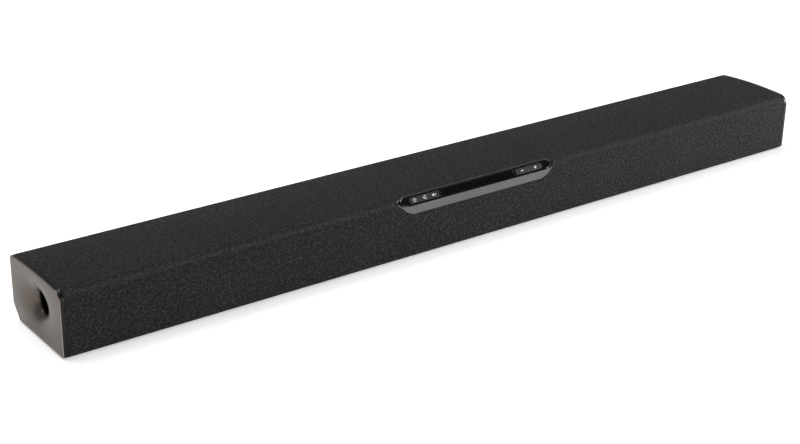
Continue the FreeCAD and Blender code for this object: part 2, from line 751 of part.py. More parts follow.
def control_electronics():
    board = new_body("control_board", turn=STRIP)
    pad(board, [rectangle("-control_board_half", "control_board_half",
                          "strip_middle - control_board_height / 2",
                          "strip_middle + control_board_height / 2")],
        "control_board_top - board_thickness", "control_board_top")
    keep(board, "control_board")

    switches = []
    for name, centre, pitch in key_groups():
        body = new_body(name + "_switch", turn=STRIP)
        pad(body, [rectangle(centre + " - switch_size / 2", centre + " + switch_size / 2",
                             "strip_middle - switch_size / 2", "strip_middle + switch_size / 2")],
            "control_board_top", "control_board_top + 0.7")
        pad(body, [], "control_board_top + 0.5", "control_board_top + 1",
            [(centre, "strip_middle", "1")])
        switches.append(body)
    keep(group("tact_switches", switches), "tact_switches")

    lights = []
    for i in range(5):
        body = new_body("light_%d" % i, turn=STRIP)
        middle = "light_pitch * %d" % (i - 2)
        pad(body, [rectangle(middle + " - 1", middle + " + 1", "strip_middle - 0.6",
                             "strip_middle + 0.6")], "control_board_top", "control_board_top + 0.7")
        lights.append(body)
    keep(group("indicator_leds", lights), "indicator_leds")

    receiver = new_body("ir_receiver", turn=STRIP)
    pad(receiver, [rectangle("32", "38", "strip_middle - 3", "strip_middle + 3")],
        "control_board_top", "control_board_top + 1.8")
    pad(receiver, [], "control_board_top + 1.8", "control_board_top + 2.6",
        [("35", "strip_middle", "2")])
    keep(receiver, "ir_receiver")


# ---------------------------------------------------------------- drivers

def woofer(side, sign):
    """A 2.5-inch driver; outlines run along its axis from the flange's rear face backwards."""
    spot = (sign + "woofer_spacing / 2", "baffle_rear - baffle_thickness - gasket_thickness",
            "driver_height")

    def piece(name, corners):
        return turned(side + "_woofer_" + name, corners, spot, AXIS_BACK)

    flange = "woofer_frame_radius"
    basket = piece("basket_shell", [("-2", flange), ("0", flange), ("0", "26.3"), ("13", "21.5"),
                                    ("15", "21.5"), ("16.5", "19"), ("16.5", "11.5"),
                                    ("15.3", "11.5"), ("15.3", "18"), ("12.5", "20"),
                                    ("-0.8", "25"), ("-2", "25")])
    vents = join(side + "_basket_vents", [
        block(side + "_basket_vent_flat", (spot[0] + " - 40", spot[0] + " + 40"),
              (spot[1] + " + 4", spot[1] + " + 11"), ("driver_height - 7", "driver_height + 7")),
        block(side + "_basket_vent_tall", (spot[0] + " - 7", spot[0] + " + 7"),
              (spot[1] + " + 4", spot[1] + " + 11"), ("driver_height - 40", "driver_height + 40"))])
    holes = screw_clearance(side + "_woofer_holes", driver_screw_spots("woofer", sign, "0"))
    keep(cut(side + "_woofer_basket", basket, join(side + "_basket_openings", [vents, holes])),
         side + "_woofer_basket")
    gasket = cut(side + "_gasket",
                 piece("gasket_ring", [("0.02", "26.8"), ("0.02", flange + " - 0.2"),
                                       ("gasket_thickness", flange + " - 0.2"),
                                       ("gasket_thickness", "26.8")]), holes)
    keep(piece("magnet", [("16.6", "21"), ("16.6", "10.9"), ("20.6", "10.9"), ("20.6", "13"),
                          ("28.6", "13"), ("28.6", "8.8"), ("17", "8.8"), ("17", "0"), ("32.6", "0"),
                          ("32.6", "20"), ("28.6", "20"), ("28.6", "22"), ("20.6", "22"),
                          ("20.6", "21")]), side + "_woofer_magnet")
    keep(piece("cone", [("-2.7", "23.7"), ("-2.1", "23.7"), ("6.9", "10"), ("19", "10"),
                        ("19", "9.6"), ("6.4", "9.6"), ("4.2", "7"), ("3", "3.5"), ("2.7", "0"),
                        ("2.1", "0"), ("2.4", "3.7"), ("3.6", "7.3"), ("5.4", "9.9")]),
         side + "_woofer_cone")
    keep(piece("surround", [("-2.1", "26.6"), ("-2.1", "26.3"), ("-3.6", "26"), ("-4", "25.3"),
                            ("-3.6", "24.6"), ("-2.1", "24"), ("-2.7", "24"), ("-4.2", "24.3"),
                            ("-4.6", "25.3"), ("-4.2", "26.3"), ("-2.7", "26.6")]),
         side + "_woofer_surround")
    keep(piece("spider", [("13.8", "10.3"), ("13", "11.8"), ("13.8", "13.3"), ("13", "14.8"),
                          ("14.8", "16.4"), ("14.8", "17.8"), ("15.2", "17.8"), ("15.2", "16.4"),
                          ("13.4", "14.8"), ("14.2", "13.3"), ("13.4", "11.8"), ("14.2", "10.3")]),
         side + "_woofer_spider")
    return gasket


def tweeter(side, sign):
    spot = (sign + "tweeter_spacing / 2", "baffle_rear - baffle_thickness", "driver_height")

    def piece(name, corners):
        return turned(side + "_tweeter_" + name, corners, spot, AXIS_BACK)

    rim = "tweeter_frame_radius"
    plate = piece("plate", [("-2", rim), ("0", rim), ("0", "15"), ("4", "15"), ("4", "10.3"),
                            ("3", "10.3"), ("0.6", "11"), ("-1.2", "14"), ("-2", "18")])
    holes = screw_clearance(side + "_tweeter_holes", driver_screw_spots("tweeter", sign, "-1"))
    keep(cut(side + "_tweeter_faceplate", plate, holes), side + "_tweeter_faceplate")
    keep(piece("magnet", [("4.1", "16"), ("4.1", "10.1"), ("6.1", "10.1"), ("6.1", "11"),
                          ("11", "11"), ("11", "8.8"), ("5", "8.8"), ("5", "0"), ("14", "0"),
                          ("14", "15"), ("11", "15"), ("11", "16")]), side + "_tweeter_magnet")
    keep(piece("dome", [("7", "9.6"), ("7", "9.3"), ("2.9", "9.3"), ("1.2", "7.8"), ("0", "4.9"),
                        ("-0.5", "0"), ("-0.9", "0"), ("-0.4", "5.1"), ("0.9", "8.1"),
                        ("2.6", "9.6")]), side + "_tweeter_dome")


def screw(name, spot, turn):
    """A pan-head screw: its head stands on the spot and its shank goes the other way."""
    head = rod(name + "_head", "screw_head_radius", "screw_head_height", spot, turn)
    shank = doc.addObject("Part::Cylinder", name + "_shank")
    bind(shank, "Radius", "screw_radius")
    shank.Height = 5
    place(shank, spot, turn.multiply(FreeCAD.Rotation(V(1, 0, 0), 180)))
    return join(name, [head, shank])


def driver_screw_spots(kind, sign, level):
    """Where one driver's screws stand, a level in front of the baffle."""
    turns = (45, 135, 225, 315) if kind == "woofer" else (0, 120, 240)
    return [("%s%s_spacing / 2 + %s_screw_circle * cos(%d)" % (sign, kind, kind, turn),
             "baffle_rear - baffle_thickness - (%s)" % level,
             "driver_height + %s_screw_circle * sin(%d)" % (kind, turn)) for turn in turns]


def screw_clearance(name, spots):
    """Rods a little wider than the screws' shanks, to cut their holes with."""
    return join(name, [rod("%s_%d" % (name, i), "screw_radius + 0.2", "8", spot, FACING_FRONT)
                       for i, spot in enumerate(spots)])


def front_screws():
    """The screws that hold the drivers to the baffle and the baffle to the rear housing."""
    screws = []
    for side, sign in (("left", "-"), ("right", "")):
        for kind, level in (("woofer", "gasket_thickness + 2"), ("tweeter", "2")):
            for i, spot in enumerate(driver_screw_spots(kind, sign, level)):
                screws.append(screw("%s_%s_screw_%d" % (side, kind, i), spot, FACING_FRONT))
    for row, height in (("low", "rail_top - 2.5"), ("high", "cavity_top + 1.9")):
        for i, x in enumerate((-470, -220, -60, 60, 220, 470)):
            spot = ("%d" % x, "baffle_rear - baffle_thickness", height)
            screws.append(screw("baffle_screw_%s_%d" % (row, i), spot, FACING_FRONT))
    keep(group("front_screws", screws), "front_screws")


# ---------------------------------------------------------------- electronics

def board_corners(sign):
    """The four mounting points of one main board."""
    across = ("board_inner + board_hole_margin", "board_outer - board_hole_margin")
    along = ("board_front + board_hole_margin", "board_rear - board_hole_margin")
    return [("%s(%s)" % (sign, x), y) for x in across for y in along]


def main_boards():
    standoffs, screws = [], []
    for label, sign in (("amplifier_board", "-"), ("power_board", "")):
        body = new_body(label)
        edges = ["board_inner", "board_outer"] if sign == "" else ["-board_outer", "-board_inner"]
        pad(body, [rectangle(*edges, "board_front", "board_rear")], "board_bottom",
            "board_bottom + board_thickness",
            [(x, y, "screw_radius + 0.3") for x, y in board_corners(sign)])
        keep(body, label)
        for i, (x, y) in enumerate(board_corners(sign)):
            name = "%s_fixing_%d" % (label, i)
            standoffs.append(rod(name + "_standoff", "3", "board_bottom - foot_height - wall",
                                 (x, y, "foot_height + wall")))
            screws.append(screw(name, (x, y, "board_bottom + board_thickness"), STRAIGHT))
    keep(group("board_standoffs", standoffs), "board_standoffs")
    keep(group("board_screws", screws), "board_screws")


def heat_sink():
    """An extrusion: a base and eight fins, the fins as a pattern of the first one."""
    body = new_body("heat_sink", ("-100", "-14", "board_bottom + board_thickness + 2.1"))
    pad(body, [rectangle("0", "46", "0", "36")], "0", "3")
    fin = pad(body, [rectangle("0", "1.6", "0", "36")], "2", "20")
    pattern = body.newObject("PartDesign::LinearPattern", "heat_sink_fins")
    pattern.Originals = [fin]
    pattern.Direction = (fin.Profile[0], ["H_Axis"])
    pattern.Length = 44.4
    pattern.Occurrences = 8
    body.Tip = pattern
    keep(body, "heat_sink")


def board_parts():
    top = "board_bottom + board_thickness"
    chips = [block("chip_%d" % i, (str(x), str(x + wide)), (str(y), str(y + deep)),
                   (top, top + " + 2"))
             for i, (x, y, wide, deep) in enumerate(((-88, -8, 22, 22), (-46, -18, 12, 12),
                                                     (-46, 6, 14, 14), (-28, -20, 9, 7)))]
    keep(group("amplifier_chips", chips), "amplifier_chips")

    coils = []
    for i in range(4):
        coil = doc.addObject("Part::Torus", "coil_%d" % i)
        coil.Radius1 = 4.2
        coil.Radius2 = 2.2
        coils.append(place(coil, (str(-120 + 13 * (i % 2)) if i < 2 else str(-24 + 11 * (i % 2)),
                                  "-16" if i < 2 else "20", top + " + 2.3")))
    keep(group("filter_coils", coils), "filter_coils")

    cans = [rod("can_%d" % i, str(radius), str(tall), (str(x), str(y), top))
            for i, (x, y, radius, tall) in enumerate(((104, -12, 9, 28), (82, -14, 7, 22),
                                                      (24, -14, 6, 18), (24, 24, 5, 16)))]
    keep(group("capacitors", cans), "capacitors")

    core = block("transformer_core", ("44", "70"), ("-22", "10"), (top, top + " + 26"))
    windows = join("transformer_windows", [
        block("transformer_window_%s" % side, ("40", "75"), span, (top + " + 6", top + " + 20"))
        for side, span in (("front", ("-17", "-11")), ("rear", ("-1", "5")))])
    winding = block("transformer_winding", ("41", "73"), ("-16.8", "4.8"), (top + " + 6.2",
                                                                          top + " + 19.8"))
    keep(join("transformer", [cut("transformer_frame", core, windows), winding]), "transformer")

    headers = [block(side + "_header", span, ("16", "32"), (top, "lead_height + 3"))
               for side, span in (("left", ("-126", "-112")), ("right", ("112", "126")))]
    keep(group("speaker_terminals", headers), "speaker_terminals")

    module = block("wireless_card", ("-136", "-100"), ("39", "40.2"), ("30", "56"))
    can = block("wireless_can", ("-130", "-112"), ("36.6", "39.5"), ("36", "52"))
    keep(join("wireless_module", [module, can]), "wireless_module")


def socket_block(name, place_x, half_width, half_height, along):
    """A box round a socket's centre line."""
    return block(name, (place_x + " - " + half_width, place_x + " + " + half_width), along,
                 ("socket_height - " + half_height, "socket_height + " + half_height))


def connector_plate():
    """The recessed rear bay: a tray with a flange inside the wall and a hole for each socket."""
    inside, outside = "bay_half - bay_gap", "bay_half - bay_gap - tray_wall"
    low, high = "bay_bottom + bay_gap", "bay_top - bay_gap"
    rear = "body_depth / 2 - 0.3"
    tray = block("tray_outside", ("-(%s)" % inside, inside), ("bay_floor - tray_wall", rear), (low, high))
    flange = block("tray_flange", ("-bay_half - 4", "bay_half + 4"),
                   ("body_depth / 2 - wall - 2", "body_depth / 2 - wall - 0.1"),
                   ("bay_bottom - 3", "bay_top + 0.8"))
    hollow = block("tray_hollow", ("-(%s)" % outside, outside), ("bay_floor", "body_depth"),
                   (low + " + tray_wall", high + " - tray_wall"))
    holes = [hollow,
             socket_block("inlet_hole", "inlet_place", "12.1", "6.1", ("30", "60")),
             socket_block("optical_hole", "optical_place", "4.5", "4.5", ("30", "60")),
             rod("aux_hole", "3.3", "30", ("aux_place", "30", "socket_height"), FACING_REAR)]
    keep(cut("connector_plate", join("tray_solid", [tray, flange]), join("tray_holes", holes)),
         "connector_plate")


def sockets():
    inlet = join("inlet_body", [
        socket_block("inlet_box", "inlet_place", "16", "9", ("26", "bay_floor - 2.2")),
        socket_block("inlet_neck", "inlet_place", "12", "6", ("40", "bay_floor + 1.5"))])
    cavity = socket_block("inlet_cavity", "inlet_place", "7.4", "4", ("32", "60"))
    pins = [rod("inlet_pin_%s" % side, "1.15", "11.5",
                ("inlet_place %s pin_spacing / 2" % sign, "31.5", "socket_height"), FACING_REAR)
            for side, sign in (("left", "-"), ("right", "+"))]
    keep(join("ac_inlet", [cut("inlet_shell", inlet, cavity)] + pins), "ac_inlet")

    keep(turned("aux_jack", [("0", "0"), ("0", "4"), ("11.6", "4"), ("11.6", "3.2"), ("14.6", "3.2"),
                             ("14.6", "1.8"), ("1.5", "1.8"), ("1.5", "0")],
                ("aux_place", "31.2", "socket_height"), AXIS_BACK), "aux_jack")

    optical = join("optical_body", [
        socket_block("optical_box", "optical_place", "5.5", "5.5", ("31.2", "bay_floor - 2.2")),
        socket_block("optical_neck", "optical_place", "4.3", "4.3", ("40", "bay_floor + 0.8"))])
    keep(cut("optical_jack", optical, socket_block("optical_opening", "optical_place", "2.6", "2.6",
                                                   ("35", "60"))), "optical_jack")

    keep(block("jack_board", ("-78", "-14"), ("29.5", "31.1"), ("30", "54")), "jack_board")


def wall_plates():
    """Pressed steel plates inside the rear wall, each with a keyhole that is narrow at the top."""
    plates, screws = [], []
    inner = "body_depth / 2 - wall - 0.1"
    for side, sign in (("left", "-"), ("right", "")):
        centre = sign + "keyhole_spacing / 2"
        sheet = block(side + "_wall_sheet", (centre + " - 20", centre + " + 20"),
                      (inner + " - 1.4", inner), ("keyhole_height - 12", "keyhole_height + 14.5"))
        head = rod(side + "_keyhole_head", "keyhole_radius", "20",
                   (centre, "bay_floor", "keyhole_height"), FACING_REAR)
        neck = block(side + "_keyhole_neck", (centre + " - keyhole_slot_radius",
                                              centre + " + keyhole_slot_radius"),
                     ("bay_floor", "body_depth"), ("keyhole_height", "keyhole_height + 8"))
        crown = rod(side + "_keyhole_crown", "keyhole_slot_radius", "20",
                    (centre, "bay_floor", "keyhole_height + 8"), FACING_REAR)
        spots = [(centre + shift, inner + " - 1.4", "keyhole_height") for shift in (" - 16", " + 16")]
        holes = [rod("%s_plate_hole_%d" % (side, i), "screw_radius + 0.2", "20",
                     (spot[0], "bay_floor", spot[2]), FACING_REAR) for i, spot in enumerate(spots)]
        plates.append(cut(side + "_wall_plate", sheet,
                          join(side + "_keyhole", [head, neck, crown] + holes)))
        screws += [screw("%s_plate_screw_%d" % (side, i), spot, FACING_FRONT)
                   for i, spot in enumerate(spots)]
    keep(group("keyhole_plates", plates), "keyhole_plates")
    for fastener in screws:
        fastener.Shapes[1].Height = 3.4
    keep(group("wall_plate_screws", screws), "wall_plate_screws")


def speaker_lead(side, sign):
    """A twin lead from the woofer to its board, laid flat at one height through the bulkhead."""
    route = [V(sign * 277.8, -14, 0), V(sign * 252, 6, 0), V(sign * 215, 27, 0),
             V(sign * 172, 30, 0), V(sign * 126.3, 25.5, 0)]
    height = number("lead_height")
    for point in route:
        point.z = height
    edges, start = [], route[0]
    for before, corner, after in zip(route, route[1:], route[2:]):
        run_in, run_out = (corner - before), (after - corner)
        turn = run_in.getAngle(run_out)
        radius = 0.45 * min(run_in.Length, run_out.Length) / math.tan(turn / 2)
        trim = radius * math.tan(turn / 2)
        run_in.normalize()
        run_out.normalize()
        arc_start, arc_end = corner - run_in * trim, corner + run_out * trim
        inward = (run_out - run_in).normalize()
        middle = corner + inward * (radius / math.cos(turn / 2) - radius)
        edges.append(Part.LineSegment(start, arc_start).toShape())
        edges.append(Part.Arc(arc_start, middle, arc_end).toShape())
        start = arc_end
        print("%s lead: bend radius %.1f" % (side, radius))
    edges.append(Part.LineSegment(start, route[-1]).toShape())
    path = Part.Wire(edges)
    section = Part.Wire(Part.makeCircle(number("lead_radius"), route[0], route[1] - route[0]))
    lead = doc.addObject("Part::Feature", side + "_speaker_lead")
    lead.Shape = path.makePipeShell([section], True, False)
    lead.Placement = FreeCAD.Placement()
    expected = math.pi * number("lead_radius") ** 2 * path.Length
    print("%s lead: length %.1f, volume %.1f, expected %.1f"
          % (side, path.Length, lead.Shape.Volume, expected))
    if abs(lead.Shape.Volume / expected - 1) > 0.01:
        raise RuntimeError(side + " speaker lead has the wrong volume")
    return lead


# ---------------------------------------------------------------- build, check and write

rear_housing()
feet()
bulkheads()
front_baffle()
grille_frame()
grille_cloth()
control_bezel()
control_panel()
display_window()
keys()
control_electronics()
main_boards()
heat_sink()
board_parts()
connector_plate()
sockets()
wall_plates()
front_screws()
gaskets, leads = [], []
for side_name, side_sign in (("left", "-"), ("right", "")):
    end_cap(side_name, side_sign)
    port_tube(side_name, AXIS_LEFT if side_sign == "-" else STRAIGHT, side_sign)
    gaskets.append(woofer(side_name, side_sign))
    tweeter(side_name, side_sign)
    leads.append(speaker_lead(side_name, -1 if side_sign == "-" else 1))
keep(group("woofer_gaskets", gaskets), "woofer_gaskets")
keep(group("speaker_leads", leads), "speaker_leads")
doc.recompute()

faults = [item.Name for item in doc.Objects if {"Invalid", "Error"} & set(item.State)]
if faults:
    raise RuntimeError("failed objects: " + ", ".join(faults))
for piece in subparts:
    if piece.Shape.isNull() or not piece.Shape.isValid() or not piece.Shape.Solids:
        raise RuntimeError("bad shape: " + piece.Label)

os.makedirs("parts", exist_ok=True)
for piece in subparts:
    piece.Shape.exportStep("parts/%s.step" % piece.Label)
    print("%-24s solids %2d  volume %10.1f  %s" % (piece.Label, len(piece.Shape.Solids),
                                                   piece.Shape.Volume, piece.Shape.BoundBox))
print(len(subparts), "sub-parts")
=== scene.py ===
"""Looks of a 40-inch soundbar: cloth-wrapped bar, dished end caps and a control strip.

Shapes are worked out in millimetres, as in the CAD, and Blender gets metres.
+X runs along the bar, the front faces -Y and +Z is up.
"""
import json
import math

import bpy
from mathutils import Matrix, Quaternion, Vector
from mathutils.geometry import delaunay_2d_cdt


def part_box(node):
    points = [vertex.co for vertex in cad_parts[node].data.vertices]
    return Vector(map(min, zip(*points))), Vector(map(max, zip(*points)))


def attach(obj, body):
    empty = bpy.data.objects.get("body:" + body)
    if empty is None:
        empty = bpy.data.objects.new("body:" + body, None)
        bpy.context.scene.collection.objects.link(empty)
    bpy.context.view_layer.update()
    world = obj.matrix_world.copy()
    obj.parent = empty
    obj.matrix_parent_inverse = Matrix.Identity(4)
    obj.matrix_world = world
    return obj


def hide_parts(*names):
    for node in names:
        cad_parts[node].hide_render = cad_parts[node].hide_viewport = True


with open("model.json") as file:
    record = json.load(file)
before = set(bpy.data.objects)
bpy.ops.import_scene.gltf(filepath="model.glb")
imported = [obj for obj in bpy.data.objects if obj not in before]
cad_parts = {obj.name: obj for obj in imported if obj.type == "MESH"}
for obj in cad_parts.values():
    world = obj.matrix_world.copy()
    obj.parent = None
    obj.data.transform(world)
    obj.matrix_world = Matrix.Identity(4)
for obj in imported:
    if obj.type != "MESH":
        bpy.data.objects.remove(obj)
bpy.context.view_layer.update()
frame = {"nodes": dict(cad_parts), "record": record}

MM = 0.001
QUARTER = math.pi / 2
# halvings in a search along the outline, enough to find a spot far finer than the mesh
HALVINGS = 40

# ---------------------------------------------------------------- sizes, in millimetres
cap_low, cap_high = (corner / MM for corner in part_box("left_end_cap"))
FRONT, REAR = cap_low.y, cap_high.y
BOTTOM, TOP = cap_low.z, cap_high.z
HALF_LENGTH = -cap_low.x

# the bar's outline, seen end on
FRONT_TOP_RADIUS = 12
FRONT_BOTTOM_RADIUS = 3
REAR_TOP_RADIUS = 4.5
CAMBER_RADIUS = 620
CAMBER_PEAK = -5
BOTTOM_SEAM = -42
REAR_SEAM = 60
CHAMFER_DEPTH = 13
CHAMFER_RISE = 15.5
# how many steps each arc of the outline is divided into, by the arc's place in the path
ARC_STEPS = {1: 5, 3: 12, 5: 7}

# end caps and the bell mouths of their bass ports
CAP_LIP = 5
CAP_ROLL = 1.2
CAP_WAIST = 0.3
CAP_WAIST_END = 3.4
PORT_HEIGHT = 37.3
PORT_RADIUS = 12
PORT_WALL = 2
PORT_STUB_END = 21
DISH_HALF_DEPTH = 50
DISH_HALF_HEIGHT = 33
DISH_SINK = 12
DISH_WALL = 1.8
SPIGOT_LENGTH = 6
SPIGOT_OUTLINE = [(-37.7, 4.8), (41.5, 4.8), (53.2, 18.6), (53.2, 56.7), (50, 56.7), (50, 64.2),
                  (-37.7, 64.2)]
SPIGOT_WALL = 2
SPIGOT_OVERLAP = 0.5
BELL_STEPS = 20
ROLL_STEPS = 6
# the cap's finish: depths under the face where the lip's begins and is full, and those of the paler
# rolled edge, a painted highlight
LIP_FADE = (0.7, 1.1)
RIM_HIGHLIGHT_FADE = (0.03, 0.2)
# half-axes of the dish between which its finish ends, and port radii over which the painted shade in
# the port's throat fades out
DISH_FADE = (1.03, 1.05)
THROAT_SHADE_FADE = (1, 1.1)

# loudspeakers behind the grille
DRIVER_HEIGHT = 36.6
WOOFER_CENTRE = 300
TWEETER_CENTRE = 400

# grille cloth
CLOTH_HALF_LENGTH = HALF_LENGTH - CAP_LIP - 0.1
CLOTH_END_GAP = 0.3
CLOTH_THICKNESS = 0.6
CLOTH_ROLL = 0.9
CLOTH_TUCK = 1.2
CLOTH_STEP = 8
THREAD_PITCH = 1.05
CLOTH_CLEARANCE = 0.1
# the yarns' noise: its scales in the cloth's plane, and its lean in degrees
WEFT_SCALE, WEFT_LEAN = (270, 720, 1), -24
WARP_SCALE, WARP_LEAN = (720, 360, 1), 12
# the painted sheen along the front top edge, a paler band standing in for the highlight there: its
# place up the strip's slope, half-width and strength
PAINTED_SHEEN_SLOPE = 24.2
PAINTED_SHEEN_REACH = 4.5
PAINTED_SHEEN_STRENGTH = 0.225

# control strip: across the bar, and up the slope of a plane tilted about the bar's length
TILT = math.radians(55)
BEZEL_PROUD = 0.3
BEZEL_DEPTH = 3.4
BEZEL_CORNERS = [(92, 10.2), (100.5, 13.4), (109, 20.2), (113.3, 26), (103, 31.9)]
BEZEL_RADII = [4, 3, 4, 1.5, 1.5]
# the bezel's grid of points: the first place, the step and the number, across and up the slope
BEZEL_ACROSS = (-112, 4, 57)
BEZEL_SLOPES = (11, 0.75, 28)
BEZEL_CLEARANCE = 0.1
PANEL_CORNERS = [(97, 18.9), (108.3, 25.2), (101.5, 29.9)]
PANEL_RADII = [3, 1.5, 1.5]
PANEL_FACE = 81
PANEL_THICKNESS = 2
PANEL_CLEARANCE = 0.15
WINDOW_CLEARANCE = 0.12
# the longest side of the bezel's and the panel's outlines
STRIP_STEP = 1.5
PANEL_STEP = 3
STRIP_MIDDLE = 24.4
DISPLAY_HALF = 52
DISPLAY_HEIGHT = 8.4
KEY_HEIGHT = 7
KEY_PROUD = 0.6
KEY_GAP = 0.4
KEY_END_RADIUS = 3.2
KEY_CORNER_RADIUS = 0.5
KEY_CROWN = 0.12
KEY_OPENING_GAP = 0.2
ICON_SCALE = 1.6
KEYS = {
    "power": (-87.9, 13.3),
    "source": (-74.6, 13.3),
    "mute": (-61.3, 13.3),
    "volume_down": (64.75, 19.5),
    "volume_up": (84.25, 19.5),
}


# ---------------------------------------------------------------- the bar's outline as a path
def line_run(start, end, normal):
    """A straight run of the outline: its length and where it is at a length along it."""
    length = math.dist(start, end)

    def at(along):
        share = along / length
        spot = tuple(a + (b - a) * share for a, b in zip(start, end))
        return spot, normal

    return length, at


def arc_run(centre, radius, start, end):
    """A clockwise arc of the outline, from one angle to a smaller one."""
    length = radius * (start - end)

    def at(along):
        angle = start - along / radius
        normal = (math.cos(angle), math.sin(angle))
        return (centre[0] + radius * normal[0], centre[1] + radius * normal[1]), normal

    return length, at


class Outline:
    """The bar seen end on: along the bottom forwards, up the front, over the top, down the back."""

    def __init__(self, proud=0.0, first_y=BOTTOM_SEAM, last_z=REAR_SEAM):
        hub = (CAMBER_PEAK, TOP - CAMBER_RADIUS)

        def corner(y, radius):
            reach = CAMBER_RADIUS - radius
            return y, hub[1] + math.sqrt(reach ** 2 - (y - hub[0]) ** 2)

        low_hub = (FRONT + FRONT_BOTTOM_RADIUS, BOTTOM + FRONT_BOTTOM_RADIUS)
        front_hub = corner(FRONT + FRONT_TOP_RADIUS, FRONT_TOP_RADIUS)
        rear_hub = corner(REAR - REAR_TOP_RADIUS, REAR_TOP_RADIUS)
        front_angle = math.atan2(front_hub[1] - hub[1], front_hub[0] - hub[0])
        rear_angle = math.atan2(rear_hub[1] - hub[1], rear_hub[0] - hub[0])
        front, rear, bottom = FRONT - proud, REAR + proud, BOTTOM - proud
        self.runs = [
            line_run((first_y, bottom), (low_hub[0], bottom), (0, -1)),
            arc_run(low_hub, FRONT_BOTTOM_RADIUS + proud, 3 * QUARTER, math.pi),
            line_run((front, low_hub[1]), (front, front_hub[1]), (-1, 0)),
            arc_run(front_hub, FRONT_TOP_RADIUS + proud, math.pi, front_angle),
            arc_run(hub, CAMBER_RADIUS + proud, front_angle, rear_angle),
            arc_run(rear_hub, REAR_TOP_RADIUS + proud, rear_angle, 0),
            line_run((rear, rear_hub[1]), (rear, last_z), (1, 0)),
        ]
        self.length = sum(length for length, _ in self.runs)

    def at(self, along):
        """The point and the outward normal, both as (y, z)."""
        for length, spot in self.runs[:-1]:
            if along <= length:
                return spot(along)
            along -= length
        return self.runs[-1][1](along)

    def lines(self, widest):
        """Lengths along the path where the mesh needs a line of points."""
        found, start = [], 0
        for i, (length, _) in enumerate(self.runs):
            count = ARC_STEPS.get(i, math.ceil(length / widest))
            found += [start + length * k / count for k in range(count)]
            start += length
        return found[1:]

    def up_slope(self, slope):
        """The length along the path at a distance up the control strip's slope."""
        low = self.runs[0][0] + self.runs[1][0]
        high = sum(length for length, _ in self.runs[:5])
        for _ in range(HALVINGS):
            middle = (low + high) / 2
            (y, z), _normal = self.at(middle)
            if y * math.cos(TILT) + z * math.sin(TILT) < slope:
                low = middle
            else:
                high = middle
        return low


BAR = Outline()
BEZEL_SURFACE = Outline(BEZEL_PROUD)
WHOLE_BAR = Outline(0, REAR - CHAMFER_DEPTH, BOTTOM + CHAMFER_RISE)


def strip_point(across, slope, height):
    """A point of the control strip's plane, as a point of the bar."""
    return (across,
            slope * math.cos(TILT) - height * math.sin(TILT),
            slope * math.sin(TILT) + height * math.cos(TILT))


# ---------------------------------------------------------------- flat shapes
def rounded(corners, radii, step=0.35):
    """A closed counterclockwise outline with an arc of the given radius at each corner."""
    made = []
    for i, (corner, radius) in enumerate(zip(corners, radii)):
        here = Vector(corner)
        back = (Vector(corners[i - 1]) - here).normalized()
        ahead = (Vector(corners[(i + 1) % len(corners)]) - here).normalized()
        half = back.angle(ahead) / 2
        if radius < 0.01:
            made.append(tuple(here))
            continue
        hub = here + (back + ahead).normalized() * (radius / math.sin(half))
        first = here + back * (radius / math.tan(half)) - hub
        last = here + ahead * (radius / math.tan(half)) - hub
        turn = math.atan2(first.cross(last), first.dot(last))
        count = max(3, math.ceil(abs(turn) * radius / step))
        start = math.atan2(first.y, first.x)
        for k in range(count + 1):
            angle = start + turn * k / count
            made.append((hub.x + radius * math.cos(angle), hub.y + radius * math.sin(angle)))
    return made


def both_sides_rounded(corners, radii):
    """A rounded outline, counterclockwise, from the corners of its right half."""
    return rounded(corners + [(-x, y) for x, y in reversed(corners)], radii + radii[::-1])


def divided(loop, step):
    """The same outline with no side longer than a step."""
    made = []
    for i, (x, y) in enumerate(loop):
        next_x, next_y = loop[(i + 1) % len(loop)]
        count = max(1, math.ceil(math.hypot(next_x - x, next_y - y) / step))
        made += [(x + (next_x - x) * k / count, y + (next_y - y) * k / count)
                 for k in range(count)]
    return made


def grown(loop, distance):
    """A counterclockwise outline moved outwards, or inwards where the distance is negative."""
    made = []
    for i, (x, y) in enumerate(loop):
        last, following = loop[i - 1], loop[(i + 1) % len(loop)]
        before = Vector((x - last[0], y - last[1])).normalized()
        after = Vector((following[0] - x, following[1] - y)).normalized()
        out = Vector((before.y + after.y, -before.x - after.x))
        out *= distance / (1 + before.dot(after))
        made.append((x + out.x, y + out.y))
    return made


def rectangle(left, right, bottom, top):
    return [(left, bottom), (right, bottom), (right, top), (left, top)]


def contains(loop, x, y):
    """Whether a point lies within a closed outline."""
    found = False
    for i, (ax, ay) in enumerate(loop):
        bx, by = loop[i - 1]
        if (ay > y) != (by > y) and x < ax + (bx - ax) * (y - ay) / (by - ay):
            found = not found
    return found


# ---------------------------------------------------------------- meshes
# how far a face's inner points stay from its rounded edges, and when two points are one
GRID_MARGIN = 0.4
SAME_POINT = 1e-6


